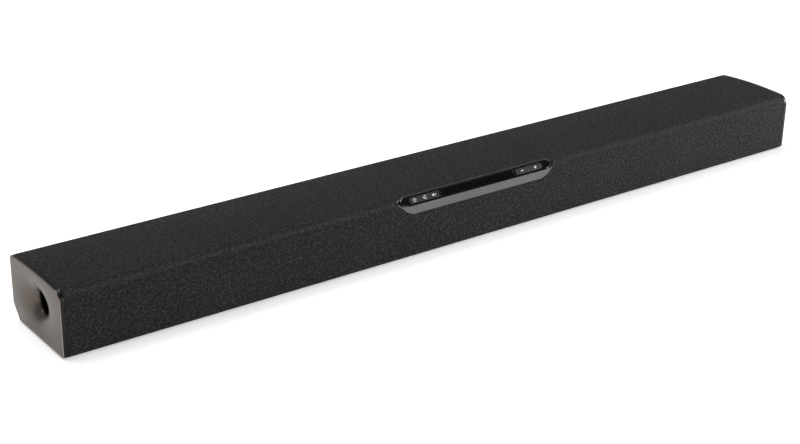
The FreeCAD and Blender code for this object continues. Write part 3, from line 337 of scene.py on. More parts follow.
def region(outline, holes=(), edge=0.3, rings=4, grid=((), ())):
    """Triangles between an outline and its holes, with rings of points that round off each edge.

    Gives the points as (a, b, drop under the face), the faces, and the open edges.
    """
    points, edges = [], []
    sides = [(outline, -1)] + [(hole, 1) for hole in holes]
    for loop, side in sides:
        for ring in range(rings + 1):
            angle = QUARTER * ring / rings
            drop = edge * (1 - math.sin(angle))
            start = len(points)
            points += [(a, b, drop) for a, b in grown(loop, side * edge * (1 - math.cos(angle)))]
            edges += [(start + i, start + (i + 1) % len(loop)) for i in range(len(loop))]
    inner = grown(outline, -edge - GRID_MARGIN)
    outer = [grown(hole, edge + GRID_MARGIN) for hole in holes]
    spans = [[(min(axis), max(axis)) for axis in zip(*loop)] for loop in outer]
    for a in grid[0]:
        for b in grid[1]:
            near = [loop for loop, (wide, tall) in zip(outer, spans)
                    if wide[0] <= a <= wide[1] and tall[0] <= b <= tall[1]]
            if contains(inner, a, b) and not any(contains(loop, a, b) for loop in near):
                points.append((a, b, 0))
    spots, _, faces, origins, _, _ = delaunay_2d_cdt(
        [Vector(point[:2]) for point in points], edges, [], 0, SAME_POINT)
    drops = [points[origin[0]][2] if origin else 0 for origin in origins]
    made = [(spot.x, spot.y, drop) for spot, drop in zip(spots, drops)]
    kept = []
    for face in faces:
        if all(drops[i] > edge * 0.99 for i in face):
            a = sum(made[i][0] for i in face) / 3
            b = sum(made[i][1] for i in face) / 3
            if not contains(outline, a, b) or any(contains(hole, a, b) for hole in holes):
                continue
        kept.append(tuple(face))
    directed = {(face[i], face[(i + 1) % 3]) for face in kept for i in range(3)}
    return made, kept, [pair for pair in directed if pair[::-1] not in directed]


def mesh_piece(name, points, faces, body="root", finish=None, sharp=40):
    """A new piece from points in millimetres, riding on a body."""
    mesh = bpy.data.meshes.new(name)
    mesh.from_pydata([Vector(point) * MM for point in points], [], faces)
    mesh.validate()
    mesh.shade_smooth()
    mesh.set_sharp_from_angle(angle=math.radians(sharp))
    if finish:
        mesh.materials.append(finish)
    piece = bpy.data.objects.new(name, mesh)
    bpy.context.scene.collection.objects.link(piece)
    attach(piece, body)
    return piece


def plate(name, shapes, surface, thickness, body="root", finish=None):
    """One piece of closed plates. surface(a, b, depth) gives the point at a depth under the face."""
    points, faces = [], []
    for flat, triangles, open_edges in shapes:
        start, count = len(points), len(flat)
        points += [surface(a, b, drop) for a, b, drop in flat]
        points += [surface(a, b, thickness) for a, b, _ in flat]
        faces += [tuple(start + i for i in face) for face in triangles]
        faces += [tuple(start + count + i for i in reversed(face)) for face in triangles]
        faces += [(start + j, start + i, start + count + i, start + count + j)
                  for i, j in open_edges]
    return mesh_piece(name, points, faces, body, finish)


# ---------------------------------------------------------------- materials
class Finish:
    """A Principled material, with short ways to add nodes to it."""

    def __init__(self, name, constants=None):
        self.material = bpy.data.materials.new(name)
        self.material.use_nodes = True
        self.tree = self.material.node_tree
        self.shader = self.tree.nodes["Principled BSDF"]
        for socket, amount in (constants or {}).items():
            self.shader.inputs[socket].default_value = amount
        self.place = self.add("TexCoord").outputs["Object"]

    def add(self, kind, inputs=None, **settings):
        node = self.tree.nodes.new("ShaderNode" + kind)
        for field, amount in settings.items():
            setattr(node, field, amount)
        for socket, amount in (inputs or {}).items():
            if isinstance(amount, bpy.types.NodeSocket):
                self.tree.links.new(amount, node.inputs[socket])
            else:
                node.inputs[socket].default_value = amount
        return node

    def drive(self, socket, source):
        self.tree.links.new(source, self.shader.inputs[socket])

    def sum(self, operation, first, second=0.0, third=0.0):
        """One arithmetic step on values."""
        return self.add("Math", {0: first, 1: second, 2: third}, operation=operation).outputs[0]

    def stretched(self, vector, scale, turn=(0, 0, 0)):
        """Coordinates turned and scaled."""
        return self.add("Mapping", {"Vector": vector, "Scale": scale, "Rotation": turn}).outputs[0]

    def noise(self, scale, detail=2.0, roughness=0.5, vector=None):
        return self.add("TexNoise", {"Vector": vector or self.place, "Scale": scale,
                                     "Detail": detail, "Roughness": roughness}).outputs["Fac"]

    def between(self, factor, low, high, start=0.0, end=1.0, clamped=True):
        """A value that goes from low to high as the factor goes from start to end."""
        inputs = {"Value": factor, "From Min": start, "From Max": end, "To Min": low, "To Max": high}
        return self.add("MapRange", inputs, clamp=clamped).outputs["Result"]

    def colours(self, factor, stops):
        """A colour ramp. Each stop is (place, grey or colour)."""
        ramp = self.add("ValToRGB", {"Fac": factor})
        elements = ramp.color_ramp.elements
        while len(elements) < len(stops):
            elements.new(0.5)
        for element, (spot, colour) in zip(elements, stops):
            element.position = spot
            element.color = (*(colour if isinstance(colour, tuple) else (colour,) * 3), 1)
        return ramp.outputs["Color"]

    def mixed(self, factor, first, second):
        """Two colours mixed by a factor."""
        node = self.add("Mix", data_type="RGBA")
        for socket, amount in ((0, factor), (6, first), (7, second)):
            if isinstance(amount, bpy.types.NodeSocket):
                self.tree.links.new(amount, node.inputs[socket])
            else:
                node.inputs[socket].default_value = amount
        return node.outputs[2]

    def rough_around(self, source, roughness):
        """A roughness that varies a tenth either way with a noise."""
        self.drive("Roughness", self.between(source, roughness * 0.9, min(1.0, roughness * 1.1),
                                             0.3, 0.7))

    def bump(self, height, distance, strength=1.0):
        """Raises the surface by a height map, in metres."""
        inputs = {"Height": height, "Distance": distance, "Strength": strength}
        self.drive("Normal", self.add("Bump", inputs).outputs["Normal"])


def varied(name, colour, roughness, grain, constants, depth, spread=0.12):
    """A finish with a fine grain in its relief and slow changes in colour and roughness."""
    made = Finish(name, constants)
    slow = made.noise(12, 3)
    fine = made.noise(grain, 2)
    dark = tuple(part * (1 - spread) for part in colour)
    light = tuple(part * (1 + spread) for part in colour)
    made.drive("Base Color", made.colours(slow, [(0.3, dark), (0.7, light)]))
    made.rough_around(fine, roughness)
    made.bump(fine, depth)
    return made.material


def cloth_finish():
    """Tight weave of dark heathered yarn: threads both ways, and short paler slubs across them."""
    made = Finish("grille_weave", {"Sheen Weight": 0.01, "Sheen Roughness": 0.5,
                                   "Specular IOR Level": 0.12})
    flat = made.add("UVMap", uv_map="cloth").outputs["UV"]
    threads = 1 / (THREAD_PITCH * MM)
    wander = made.add("TexNoise", {"Vector": flat, "Scale": 260, "Detail": 1}).outputs["Color"]
    bent = made.add("VectorMath", {0: wander, 2: flat}, operation="MULTIPLY_ADD")
    bent.inputs[1].default_value = (0.0006, 0.0006, 0)
    woven = made.stretched(bent.outputs[0], (threads, threads, 1))
    parts = made.add("SeparateXYZ", {"Vector": woven})
    across = made.sum("SINE", made.sum("MULTIPLY", parts.outputs["X"], math.pi))
    along = made.sum("SINE", made.sum("MULTIPLY", parts.outputs["Y"], math.pi))
    crossing = made.sum("MULTIPLY", across, along)
    weft, warp = (
        made.noise(1.0, 2, vector=made.stretched(flat, scale, (0, 0, math.radians(lean))))
        for scale, lean in ((WEFT_SCALE, WEFT_LEAN), (WARP_SCALE, WARP_LEAN)))
    mottle = made.noise(270, 3, 0.6, flat)
    slow = made.noise(14, 3)
    # painted sheen: the cloth is painted a little paler all along the front top edge, standing in
    # for the highlight there
    spot = made.add("SeparateXYZ", {"Vector": made.place})
    slope = made.sum("MULTIPLY_ADD", spot.outputs["Y"], math.cos(TILT),
                     made.sum("MULTIPLY", spot.outputs["Z"], math.sin(TILT)))
    away = made.sum("ABSOLUTE", made.sum("SUBTRACT", slope, PAINTED_SHEEN_SLOPE * MM))
    pale = made.between(away, PAINTED_SHEEN_STRENGTH, 0, 0, PAINTED_SHEEN_REACH * MM)
    tone = made.sum("MULTIPLY_ADD", crossing, 0.06, 0.5)
    for layer, swing, start in ((weft, 0.55, 0.28), (warp, 0.4, 0.28), (mottle, 0.45, 0.28),
                                (slow, 0.06, 0.3)):
        tone = made.sum("ADD", tone, made.between(layer, -swing, swing, start, 1 - start))
    yarn = made.colours(tone, [
        (0.0, (0.0016, 0.0016, 0.0016)), (0.5, (0.0067, 0.0064, 0.0062)),
        (0.8, (0.0145, 0.0139, 0.0135)), (1.0, (0.026, 0.025, 0.0243))])
    # mixes the painted sheen into the yarn's colour
    made.drive("Base Color", made.mixed(pale, yarn, (0.055, 0.0535, 0.053, 1)))
    made.drive("Roughness", made.between(tone, 0.62, 0.5))
    made.bump(made.sum("MULTIPLY_ADD", crossing, 0.3, tone), 0.0009, 0.9)
    return made.material


def cap_finish():
    """The end cap: satin gunmetal with a dark lip, a paler rolled edge that is a painted highlight,
    and the port's throat painted nearly black as shade.
    """
    made = Finish("end_cap_gunmetal", {"Specular IOR Level": 0.12})
    parts = made.add("SeparateXYZ", {"Vector": made.place})
    sink = made.sum("SUBTRACT", HALF_LENGTH * MM, made.sum("ABSOLUTE", parts.outputs["X"]))
    height = made.sum("SUBTRACT", parts.outputs["Z"], PORT_HEIGHT * MM)

    def distance(half_depth, half_height):
        """How far from the port's axis a point is, in half-axes of an ellipse round it."""
        y = made.between(parts.outputs["Y"], 0, 1, 0, half_depth * MM, False)
        z = made.between(height, 0, 1, 0, half_height * MM, False)
        return made.sum("SQRT", made.sum("MULTIPLY_ADD", y, y, made.sum("MULTIPLY", z, z)))

    def under(full, fade):
        """A value that rises to full between two depths under the face."""
        return made.between(sink, 0, full, fade[0] * MM, fade[1] * MM)

    outside = made.between(distance(DISH_HALF_DEPTH, DISH_HALF_HEIGHT), 0, 1, *DISH_FADE)
    lip = made.sum("MULTIPLY", outside, under(1, LIP_FADE))
    # painted shade: the gunmetal is darkened to near black in the port's throat, where the deep port
    # lies in shade
    throat = made.between(distance(PORT_RADIUS, PORT_RADIUS), 0.1, 1, *THROAT_SHADE_FADE)
    # painted highlight: the rolled edge round the face is painted paler, as the light catching it
    painted_rim_highlight = made.sum("MULTIPLY", under(0.15, RIM_HIGHLIGHT_FADE), outside)
    slow = made.noise(22, 3)
    fine = made.noise(2600, 2)
    level = made.sum("ADD", made.between(slow, 0.096, 0.113), painted_rim_highlight)
    level = made.sum("MULTIPLY", throat, level)
    gunmetal = made.mixed(level, (0, 0, 0, 1), (1, 0.845, 0.735, 1))
    made.drive("Base Color", made.mixed(lip, gunmetal, (0.02, 0.0195, 0.019, 1)))
    made.drive("Metallic", made.between(lip, 0.9, 1))
    satin = made.between(fine, 0.34, 0.42, 0.3, 0.7)
    made.drive("Roughness", made.add("Mix", {0: lip, 2: satin, 3: 0.25}).outputs[0])
    made.bump(fine, 0.000003)
    return made.material


def metal(name, colour, roughness, grain=900, depth=0.00001):
    """Plated, extruded or painted metal."""
    return varied(name, colour, roughness, grain, {"Metallic": 1.0}, depth, 0.08)


def moulded(name, colour, roughness, grain=1400, depth=0.00003, constants=None):
    """Moulded plastic or rubber."""
    return varied(name, colour, roughness, grain, constants, depth)


def housing_finish():
    """Black moulding with a spark-eroded texture and faint flow marks."""
    made = Finish("spark_eroded_black", {"Specular IOR Level": 0.4})
    cells = made.add("TexVoronoi", {"Vector": made.place, "Scale": 1500}).outputs["Distance"]
    coarse = made.noise(700, 3, 0.6)
    slow = made.noise(7, 4)
    relief = made.sum("MULTIPLY_ADD", cells, 0.5, coarse)
    made.drive("Base Color", made.colours(
        slow, [(0.3, (0.016, 0.016, 0.017)), (0.7, (0.024, 0.024, 0.025))]))
    made.drive("Roughness", made.between(coarse, 0.5, 0.68, 0.3, 0.7))
    made.bump(relief, 0.00005, 0.8)
    return made.material


def gloss_finish(name, colour, roughness):
    """Lacquered black: hairline swirls and a little dust in the coat."""
    made = Finish(name, {"Specular IOR Level": 0.5, "Coat Weight": 0.6, "Coat Roughness": 0.04})
    slow = made.noise(25, 2)
    dust = made.noise(4200, 1)
    light = tuple(part * 1.3 for part in colour)
    made.drive("Base Color", made.colours(slow, [(0.3, colour), (0.7, light)]))
    made.drive("Roughness", made.between(dust, roughness, roughness + 0.08, 0.62, 0.75))
    made.bump(slow, 0.00001, 0.3)
    return made.material


def board_finish():
    """Solder-masked circuit board: traces under the mask, pads and small dark parts."""
    made = Finish("solder_mask", {"Coat Weight": 0.3, "Coat Roughness": 0.2})
    bricks = made.add("TexBrick", {
        "Vector": made.place, "Scale": 260, "Color1": (0.004, 0.06, 0.03, 1),
        "Color2": (0.006, 0.09, 0.045, 1), "Mortar": (0.01, 0.14, 0.07, 1),
        "Mortar Size": 0.03}, offset=0.37)
    cells = made.add("TexVoronoi", {"Vector": made.place, "Scale": 190}).outputs["Distance"]
    pads = made.between(cells, 1, 0, 0.12, 0.16)
    made.drive("Base Color", made.mixed(pads, bricks.outputs["Color"], (0.45, 0.43, 0.4, 1)))
    made.drive("Metallic", pads)
    made.drive("Roughness", made.between(made.noise(600), 0.3, 0.45))
    made.bump(bricks.outputs["Fac"], 0.00002)
    return made.material


def wound_finish():
    """Enamelled copper wire wound round a core."""
    made = Finish("copper_winding", {"Coat Weight": 0.5, "Coat Roughness": 0.1})
    turns = made.add("TexWave", {"Vector": made.place, "Scale": 700, "Distortion": 1.5,
                                 "Detail": 1}, bands_direction="DIAGONAL").outputs["Fac"]
    made.drive("Base Color", made.colours(
        turns, [(0.1, (0.12, 0.03, 0.01)), (0.7, (0.6, 0.24, 0.09))]))
    made.drive("Roughness", made.between(turns, 0.45, 0.25))
    made.shader.inputs["Metallic"].default_value = 0.9
    made.bump(turns, 0.0001)
    return made.material


def ringed_finish(name, centre, colours, roughness, pitch, depth, constants=None):
    """A turned or pressed face with rings round a driver's axis, alike on left and right."""
    made = Finish(name, constants)
    parts = made.add("SeparateXYZ", {"Vector": made.place})
    across = made.sum("SUBTRACT", made.sum("ABSOLUTE", parts.outputs["X"]), centre * MM)
    height = made.sum("SUBTRACT", parts.outputs["Z"], DRIVER_HEIGHT * MM)
    radius = made.sum("SQRT", made.sum("ADD", made.sum("MULTIPLY", across, across),
                                       made.sum("MULTIPLY", height, height)))
    rings = made.sum("SINE", made.sum("MULTIPLY", radius, 2 * math.pi / (pitch * MM)))
    fibre = made.noise(900, 4, 0.6)
    tone = made.sum("MULTIPLY_ADD", rings, 0.15, fibre)
    made.drive("Base Color", made.colours(tone, [(0.3, colours[0]), (0.7, colours[1])]))
    made.rough_around(fibre, roughness)
    made.bump(tone, depth)
    return made.material


ICON_PAINT = moulded("icon_paint", (0.6, 0.6, 0.59), 0.45, 3000, 0.000003)

RUBBER = {"Specular IOR Level": 0.35}
FINISHES = {
    "cap": cap_finish(),
    "cloth": cloth_finish(),
    "housing": housing_finish(),
    "foot": moulded("foot_rubber", (0.022, 0.022, 0.022), 0.85, 1100, 0.00005, RUBBER),
    "bezel": metal("bezel_satin_metal", (0.118, 0.115, 0.113), 0.18, 2400, 0.000004),
    "panel": gloss_finish("panel_piano_black", (0.0045, 0.0045, 0.0045), 0.05),
    "window": gloss_finish("window_smoked", (0.003, 0.003, 0.003), 0.03),
    "key": moulded("key_satin_black", (0.026, 0.026, 0.026), 0.32, 2600, 0.000004, RUBBER),
    "circuit": board_finish(),
    "component": moulded("component_epoxy", (0.018, 0.018, 0.018), 0.5),
    "lens": moulded("lens_milky", (0.75, 0.74, 0.7), 0.25, 800, 0.000005,
                    {"Subsurface Weight": 0.3, "Subsurface Scale": 0.002}),
    "socket": moulded("socket_black", (0.012, 0.012, 0.012), 0.42, 1800),
    "shield": metal("tinned_shield", (0.5, 0.5, 0.49), 0.35),
    "ferrite": moulded("ferrite_grey", (0.045, 0.045, 0.047), 0.55, 1300, 0.00004),
    "copper": wound_finish(),
    "aluminium": metal("extruded_aluminium", (0.6, 0.61, 0.62), 0.32, 500),
    "steel": metal("zinc_steel", (0.48, 0.48, 0.47), 0.36, 1200),
    "faceplate": ringed_finish("faceplate_satin", TWEETER_CENTRE,
                               ((0.014, 0.014, 0.014), (0.022, 0.022, 0.022)), 0.4, 2.5, 0.00002),
    "cone": ringed_finish("cone_copper_weave", WOOFER_CENTRE,
                          ((0.16, 0.065, 0.025), (0.34, 0.15, 0.06)), 0.35, 1.2, 0.00006,
                          {"Metallic": 0.6}),
    "surround": ringed_finish("surround_rubber", WOOFER_CENTRE,
                              ((0.01, 0.01, 0.01), (0.018, 0.018, 0.018)), 0.7, 1.6, 0.00003),
    "spider": ringed_finish("spider_cloth", WOOFER_CENTRE,
                            ((0.3, 0.18, 0.05), (0.5, 0.32, 0.1)), 0.85, 3.0, 0.0003),
    "dome": ringed_finish("dome_silk", TWEETER_CENTRE,
                          ((0.012, 0.012, 0.015), (0.025, 0.025, 0.03)), 0.5, 0.6, 0.00003,
                          {"Sheen Weight": 0.3}),
    "lead": moulded("lead_insulation", (0.1, 0.01, 0.01), 0.4, 700),
}

for row in frame["record"]["subparts"]:
    node = frame["nodes"][row["node"]]
    node.data.materials.clear()
    node.data.materials.append(FINISHES[row["material_slot"]])


# ---------------------------------------------------------------- grille cloth
def surface_shape(outline):
    """An outline of the strip's plane, laid on the bar: across, and along its outline."""
    return [(across, BAR.up_slope(slope)) for across, slope in outline]


def grille_cloth():
    """The stretched cloth round the bar, rolled in at the caps, the seams and the control bezel."""
    notch = both_sides_rounded(BEZEL_CORNERS, BEZEL_RADII)
    hole = surface_shape(grown(divided(notch, STRIP_STEP), CLOTH_CLEARANCE))
    ends = rectangle(-CLOTH_HALF_LENGTH, CLOTH_HALF_LENGTH, CLOTH_END_GAP,
                     BAR.length - CLOTH_END_GAP)
    columns = math.ceil(2 * CLOTH_HALF_LENGTH / CLOTH_STEP)
    across = [CLOTH_HALF_LENGTH * (2 * i / columns - 1) for i in range(1, columns)]
    flat, faces, open_edges = region(divided(ends, 2), [hole], CLOTH_ROLL,
                                     grid=(across, BAR.lines(CLOTH_STEP)))
    points, spots = [], []
    for a, b, drop in flat:
        (y, z), (out_y, out_z) = BAR.at(b)
        points.append((a, y - out_y * drop, z - out_z * drop))
        spots.append((a, b))
    tucked = {}
    for i in {i for pair in open_edges for i in pair}:
        a, b, drop = flat[i]
        (y, z), (out_y, out_z) = BAR.at(b)
        tucked[i] = len(points)
        depth = drop + CLOTH_TUCK
        points.append((a, y - out_y * depth, z - out_z * depth))
        spots.append((a, b))
    faces += [(j, i, tucked[i], tucked[j]) for i, j in open_edges]
    piece = mesh_piece("cloth_wrap", points, faces, finish=FINISHES["cloth"],
                       sharp=80)
    layer = piece.data.uv_layers.new(name="cloth")
    for loop in piece.data.loops:
        a, b = spots[loop.vertex_index]
        layer.data[loop.index].uv = (a * MM, b * MM)
    solid = piece.modifiers.new("cloth_thickness", "SOLIDIFY")
    solid.thickness = CLOTH_THICKNESS * MM
    solid.offset = -1
    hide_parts("grille_cloth")


# ---------------------------------------------------------------- end caps
def end_on_loop(step):
    """The bar's whole outline seen end on, as a closed counterclockwise loop of (y, z)."""
    spots = [0] + WHOLE_BAR.lines(step) + [WHOLE_BAR.length]
    loop = [WHOLE_BAR.at(along)[0] for along in spots]
    (low_y, low_z), (high_y, high_z) = loop[0], loop[-1]
    count = math.ceil(math.dist(loop[0], loop[-1]) / step)
    chamfer = [(high_y + (low_y - high_y) * k / count, high_z + (low_z - high_z) * k / count)
               for k in range(1, count)]
    return (loop + chamfer)[::-1]


def dish_depth(share):
    """How deep the bell mouth is, from its throat (share 0) out to its rim (share 1)."""
    return DISH_SINK * (1 - math.sqrt(1 - (1 - share) ** 2))


def end_cap(side, sign):
    """A cap with a rolled edge and a waisted lip, its face drawn in to the port's throat."""
    loop = end_on_loop(3)
    inner_edge = grown(loop, -CAP_ROLL - CAP_WAIST)
    angles = [math.atan2(z - PORT_HEIGHT, y) for y, z in inner_edge]

    def ellipse(half_depth, half_height):
        reach = [1 / math.hypot(math.cos(a) / half_depth, math.sin(a) / half_height)
                 for a in angles]
        return [(r * math.cos(a), PORT_HEIGHT + r * math.sin(a)) for r, a in zip(reach, angles)]

    def bell(share, grow=0.0):
        return ellipse(PORT_RADIUS + grow + (DISH_HALF_DEPTH - PORT_RADIUS) * share,
                       PORT_RADIUS + grow + (DISH_HALF_HEIGHT - PORT_RADIUS) * share)

    def midway(first, second, share):
        return [(a[0] + (b[0] - a[0]) * share, a[1] + (b[1] - a[1]) * share)
                for a, b in zip(first, second)]

    rings = [(bell(0), PORT_STUB_END)]
    shares = [(i / BELL_STEPS) ** 2 for i in range(BELL_STEPS + 1)]
    rings += [(bell(share), dish_depth(share)) for share in shares]
    rings += [(midway(bell(1), inner_edge, share), 0) for share in (0.35, 0.7, 1)]
    for i in range(1, ROLL_STEPS + 1):
        angle = QUARTER * i / ROLL_STEPS
        inset = CAP_WAIST + CAP_ROLL * (1 - math.sin(angle))
        rings.append((grown(loop, -inset), CAP_ROLL * (1 - math.cos(angle))))
    rings += [(grown(loop, -CAP_WAIST), CAP_WAIST_END), (loop, CAP_WAIST_END + 2 * CAP_WAIST),
              (loop, CAP_LIP)]
    buried = next(i for i in range(BELL_STEPS, 0, -1) if dish_depth(shares[i]) + DISH_WALL > CAP_LIP)
    rings += [(bell(shares[buried + 1], DISH_WALL), CAP_LIP)]
    rings += [(bell(share, DISH_WALL), dish_depth(share) + DISH_WALL)
              for share in shares[buried::-1]]
    rings += [(ellipse(PORT_RADIUS + PORT_WALL, PORT_RADIUS + PORT_WALL), depth)
              for depth in (DISH_SINK + PORT_WALL, PORT_STUB_END)]
    points, faces = [], []
    add_tube(points, faces, rings, sign)
    inside = grown(SPIGOT_OUTLINE, -SPIGOT_WALL)
    near, far = CAP_LIP - SPIGOT_OVERLAP, CAP_LIP + SPIGOT_LENGTH
    add_tube(points, faces, [(inside, near), (SPIGOT_OUTLINE, near),
                             (SPIGOT_OUTLINE, far), (inside, far)], sign)
    piece = mesh_piece(side + "_cap_shell", points, faces, finish=FINISHES["cap"],
                       sharp=35)
    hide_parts(side + "_end_cap")


def add_tube(points, faces, rings, sign):
    """A closed band through rings of (y, z) points at depths under a cap's face."""
    start, count = len(points), len(rings[0][0])
    for ring, depth in rings:
        points += [(sign * (HALF_LENGTH - depth), y, z) for y, z in ring]
    for i in range(len(rings)):
        this, following = start + i * count, start + (i + 1) % len(rings) * count
        for k in range(count):
            after = (k + 1) % count
            face = (this + k, this + after, following + after, following + k)
            faces.append(face if sign < 0 else face[::-1])


# ---------------------------------------------------------------- control strip
def bezel_surface(across, slope, depth):
    """A point of the bezel at a depth under its curved face, along the strip's normal."""
    (y, z), _normal = BEZEL_SURFACE.at(BEZEL_SURFACE.up_slope(slope))
    height = z * math.cos(TILT) - y * math.sin(TILT)
    return strip_point(across, slope, height - depth)


def control_bezel():
    """The metal frame round the panel, with a rounded edge, following the bar's front top."""
    outer = both_sides_rounded(BEZEL_CORNERS, BEZEL_RADII)
    inner = both_sides_rounded(PANEL_CORNERS, PANEL_RADII)
    grid = [[first + step * i for i in range(count)]
            for first, step, count in (BEZEL_ACROSS, BEZEL_SLOPES)]
    shape = region(divided(grown(outer, -BEZEL_CLEARANCE), STRIP_STEP), [divided(inner, STRIP_STEP)],
                   0.45, 5, grid)
    piece = plate("bezel_frame", [shape], bezel_surface, BEZEL_DEPTH,
                  finish=FINISHES["bezel"])
    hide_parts("control_bezel")


def flat_on_strip(face):
    """The surface of a flat plate whose face is at a height over the strip's plane."""
    return lambda across, slope, depth: strip_point(across, slope, face - depth)


def strip_box(left, right, half_height):
    """A rectangle centred on the strip's middle line."""
    return rectangle(left, right, STRIP_MIDDLE - half_height, STRIP_MIDDLE + half_height)


def key_outline(centre, pitch):
    """A key's rectangle, its outer end rounded where the key ends its group."""
    half = (pitch - KEY_GAP) / 2
    small, large = KEY_CORNER_RADIUS, KEY_END_RADIUS
    radii = [small] * 4
    if centre == KEYS["power"][0]:
        radii = [large, small, small, large]
    if centre == KEYS["volume_up"][0]:
        radii = [small, large, large, small]
    return rounded(strip_box(centre - half, centre + half, KEY_HEIGHT / 2), radii, 0.25)


def key_group(names, grow):
    """The opening round a group of keys."""
    left = KEYS[names[0]][0] - KEYS[names[0]][1] / 2 - grow
    right = KEYS[names[-1]][0] + KEYS[names[-1]][1] / 2 + grow
    small, large = 0.4, KEY_END_RADIUS + grow
    radii = [large, small, small, large] if left < 0 else [small, large, large, small]
    return rounded(strip_box(left, right, KEY_HEIGHT / 2 + grow), radii, 0.3)


def control_panel():
    """The gloss panel, cut out round the display window and the two groups of keys."""
    outline = both_sides_rounded(PANEL_CORNERS, PANEL_RADII)
    window = rounded(strip_box(-DISPLAY_HALF, DISPLAY_HALF, DISPLAY_HEIGHT / 2), [0.3] * 4, 0.15)
    holes = [grown(window, WINDOW_CLEARANCE),
             key_group(("power", "source", "mute"), KEY_OPENING_GAP),
             key_group(("volume_down", "volume_up"), KEY_OPENING_GAP)]
    shape = region(divided(grown(outline, -PANEL_CLEARANCE), PANEL_STEP),
                   [divided(hole, PANEL_STEP) for hole in holes], 0.2, 4)
    piece = plate("panel_gloss", [shape], flat_on_strip(PANEL_FACE), PANEL_THICKNESS,
                  finish=FINISHES["panel"])
    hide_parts("control_panel")
    shape = region(divided(window, PANEL_STEP), [], 0.1, 3)
    piece = plate("window_smoked", [shape], flat_on_strip(PANEL_FACE), PANEL_THICKNESS - 0.2,
                  finish=FINISHES["window"])
    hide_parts("display_window")


def ring_sector(radius, width, start, end):
    """A band along an arc, in degrees, counterclockwise."""
    angles = [math.radians(start + (end - start) * i / 24) for i in range(25)]
    outer = [(radius * math.cos(a), radius * math.sin(a)) for a in angles]
    inner = [((radius - width) * math.cos(a), (radius - width) * math.sin(a)) for a in angles]
    return outer + inner[::-1]


def cross(reach, width, turn=0):
    """A plus sign, turned by an angle in degrees."""
    half = width / 2
    arm = [(half, -reach), (half, -half), (reach, -half)]
    made = []
    for quarter in range(4):
        angle = quarter * QUARTER + math.radians(turn)
        c, s = math.cos(angle), math.sin(angle)
        made += [(x * c - y * s, x * s + y * c) for x, y in arm]
    return made


def moved(loop, across, up, scale=1.0):
    """An outline scaled, then shifted."""
    return [(x * scale + across, y * scale + up) for x, y in loop]


ICONS = {
    "power": [ring_sector(1.3, 0.34, 125, 415), rectangle(-0.17, 0.17, 0.2, 1.6)],
    "source": [[(-0.2, -1.3), (1.5, -1.3), (1.5, 1.3), (-0.2, 1.3), (-0.2, 0.96), (1.16, 0.96),
                (1.16, -0.96), (-0.2, -0.96)],
               [(-1.7, -0.17), (-0.3, -0.17), (-0.3, -0.7), (0.6, 0), (-0.3, 0.7), (-0.3, 0.17),
                (-1.7, 0.17)]],
    "mute": [[(-1.6, -0.5), (-0.9, -0.5), (0, -1.2), (0, 1.2), (-0.9, 0.5), (-1.6, 0.5)],
             moved(cross(0.75, 0.3, 45), 1.05, 0)],
    "volume_down": [rectangle(-1.1, 1.1, -0.28, 0.28)],
    "volume_up": [cross(1.1, 0.56)],
}


def key(name, centre, pitch):
    """A satin key cap with a shallow crown and its printed icon."""
    face = PANEL_FACE + KEY_PROUD

    def crowned(across, slope, depth):
        lift = KEY_CROWN * (1 - ((slope - STRIP_MIDDLE) / (KEY_HEIGHT / 2)) ** 2)
        return strip_point(across, slope, face - KEY_CROWN + lift - depth)

    places = [i / 12 - 0.5 for i in range(1, 12)]
    rows = [STRIP_MIDDLE + KEY_HEIGHT * place for place in places]
    columns = [centre + pitch * place for place in places]
    shape = region(divided(key_outline(centre, pitch), 1), [], 0.3, 4, (columns, rows))
    cap = plate(name + "_cap", [shape], crowned, KEY_PROUD + PANEL_THICKNESS, body=name + "_key",
                finish=FINISHES["key"])
    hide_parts(name + "_button")
    marks = [region(moved(loop, centre, STRIP_MIDDLE, ICON_SCALE), [], 0.02, 1)
             for loop in ICONS[name]]
    plate(name + "_icon", marks, lambda a, b, depth: crowned(a, b, depth - 0.03), 0.12,
          body=name + "_key", finish=ICON_PAINT)


grille_cloth()
end_cap("left", -1)
end_cap("right", 1)
control_bezel()
control_panel()
for label, (middle, width) in KEYS.items():
    key(label, middle, width)


# ---------------------------------------------------------------- floor, light and camera
SKY_LEVEL = 0.4
# each patch: its direction, the half-angles in degrees where it begins and is full, and its gain
SKY_PATCHES = [
    ((0.55, -0.6, 0.58), 28, 19, -SKY_LEVEL + 0.01),
    ((0, -0.97, 0.15), 34, 20, 1.4),
]
# each soft box: its name, place, side and power
SOFT_BOXES = [
    ("front_box", (0.385, -2.32, 0.66), 0.18, 16),
    ("side_box", (2.4, -0.8, 0.5), 0.9, 42),
    ("top_box", (-0.7, 0.5, 2.0), 1.2, 21),
    ("rear_box", (0.208, 1.044, 1.608), 0.25, 11),
]


def floor():
    """A plain pale sheet, lightly mottled."""
    half = 20
    mesh = bpy.data.meshes.new("floor")
    corners = [(-half, -half, 0), (half, -half, 0), (half, half, 0), (-half, half, 0)]
    mesh.from_pydata(corners, [], [(0, 1, 2, 3)])
    made = Finish("pale_floor", {"Specular IOR Level": 0.1, "Roughness": 0.9,
                                 "Emission Strength": 0.36})
    made.drive("Base Color", made.colours(made.noise(2, 2), [(0.3, 0.9), (0.7, 0.91)]))
    mesh.materials.append(made.material)
    sheet = bpy.data.objects.new("floor", mesh)
    bpy.context.scene.collection.objects.link(sheet)


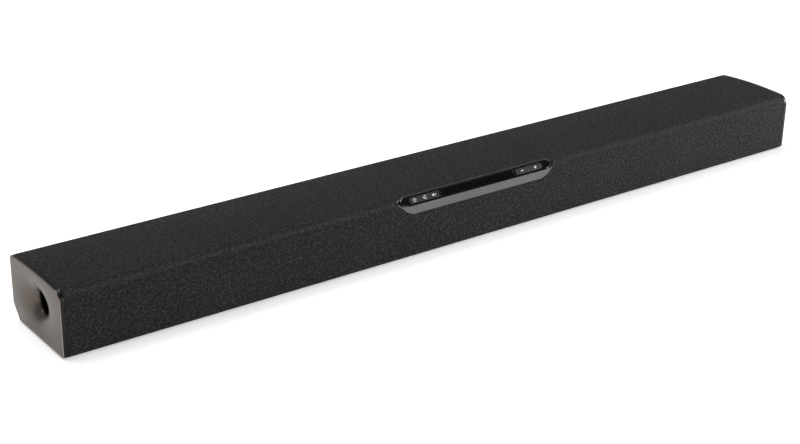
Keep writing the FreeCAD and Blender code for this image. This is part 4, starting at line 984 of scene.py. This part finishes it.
def studio_sky():
    """Even soft light from all round, with a dark flag facing the strip and a bright panel ahead."""
    world = bpy.data.worlds.new("studio")
    bpy.context.scene.world = world
    world.use_nodes = True
    tree = world.node_tree
    toward = tree.nodes.new("ShaderNodeTexCoord").outputs["Generated"]
    level = None
    for direction, outer, inner, gain in SKY_PATCHES:
        facing = tree.nodes.new("ShaderNodeVectorMath")
        facing.operation = "DOT_PRODUCT"
        facing.inputs[1].default_value = Vector(direction).normalized()
        tree.links.new(toward, facing.inputs[0])
        patch = tree.nodes.new("ShaderNodeMapRange")
        patch.interpolation_type = "SMOOTHSTEP"
        patch.inputs["From Min"].default_value = math.cos(math.radians(outer))
        patch.inputs["From Max"].default_value = math.cos(math.radians(inner))
        patch.inputs["To Max"].default_value = gain
        tree.links.new(facing.outputs["Value"], patch.inputs["Value"])
        total = tree.nodes.new("ShaderNodeMath")
        total.inputs[1].default_value = SKY_LEVEL
        if level:
            tree.links.new(level, total.inputs[1])
        tree.links.new(patch.outputs["Result"], total.inputs[0])
        level = total.outputs[0]
    tree.links.new(level, tree.nodes["Background"].inputs["Strength"])
    tree.nodes["Background"].inputs["Color"].default_value = (1, 1, 1, 1)


def soft_box(name, place, side, power):
    """A square soft light, facing the middle of the bar's footprint."""
    light = bpy.data.lights.new(name, "AREA")
    light.size = side
    light.energy = power
    lamp = bpy.data.objects.new(name, light)
    lamp.location = place
    lamp.rotation_mode = "QUATERNION"
    lamp.rotation_quaternion = (-Vector(place)).to_track_quat("-Z", "Y")
    bpy.context.scene.collection.objects.link(lamp)


def camera():
    """The photograph's view: from the front left, a little above."""
    place = Vector((-1.0639, -1.3365, 0.7446))
    yaw, pitch, roll = math.radians(36.699), math.radians(23.593), math.radians(0.945)
    lens = bpy.data.cameras.new("camera")
    lens.sensor_width = 36
    lens.lens = 72.614
    eye = bpy.data.objects.new("camera", lens)
    eye.location = place
    eye.rotation_mode = "QUATERNION"
    ahead = Vector((math.sin(yaw) * math.cos(pitch), math.cos(yaw) * math.cos(pitch),
                    -math.sin(pitch)))
    eye.rotation_quaternion = ahead.to_track_quat("-Z", "Y") @ Quaternion((0, 0, 1), roll)
    bpy.context.scene.collection.objects.link(eye)
    bpy.context.scene.camera = eye


floor()
studio_sky()
for name, place, side, power in SOFT_BOXES:
    soft_box(name, place, side, power)
camera()
bpy.context.scene.view_settings.view_transform = "Standard"
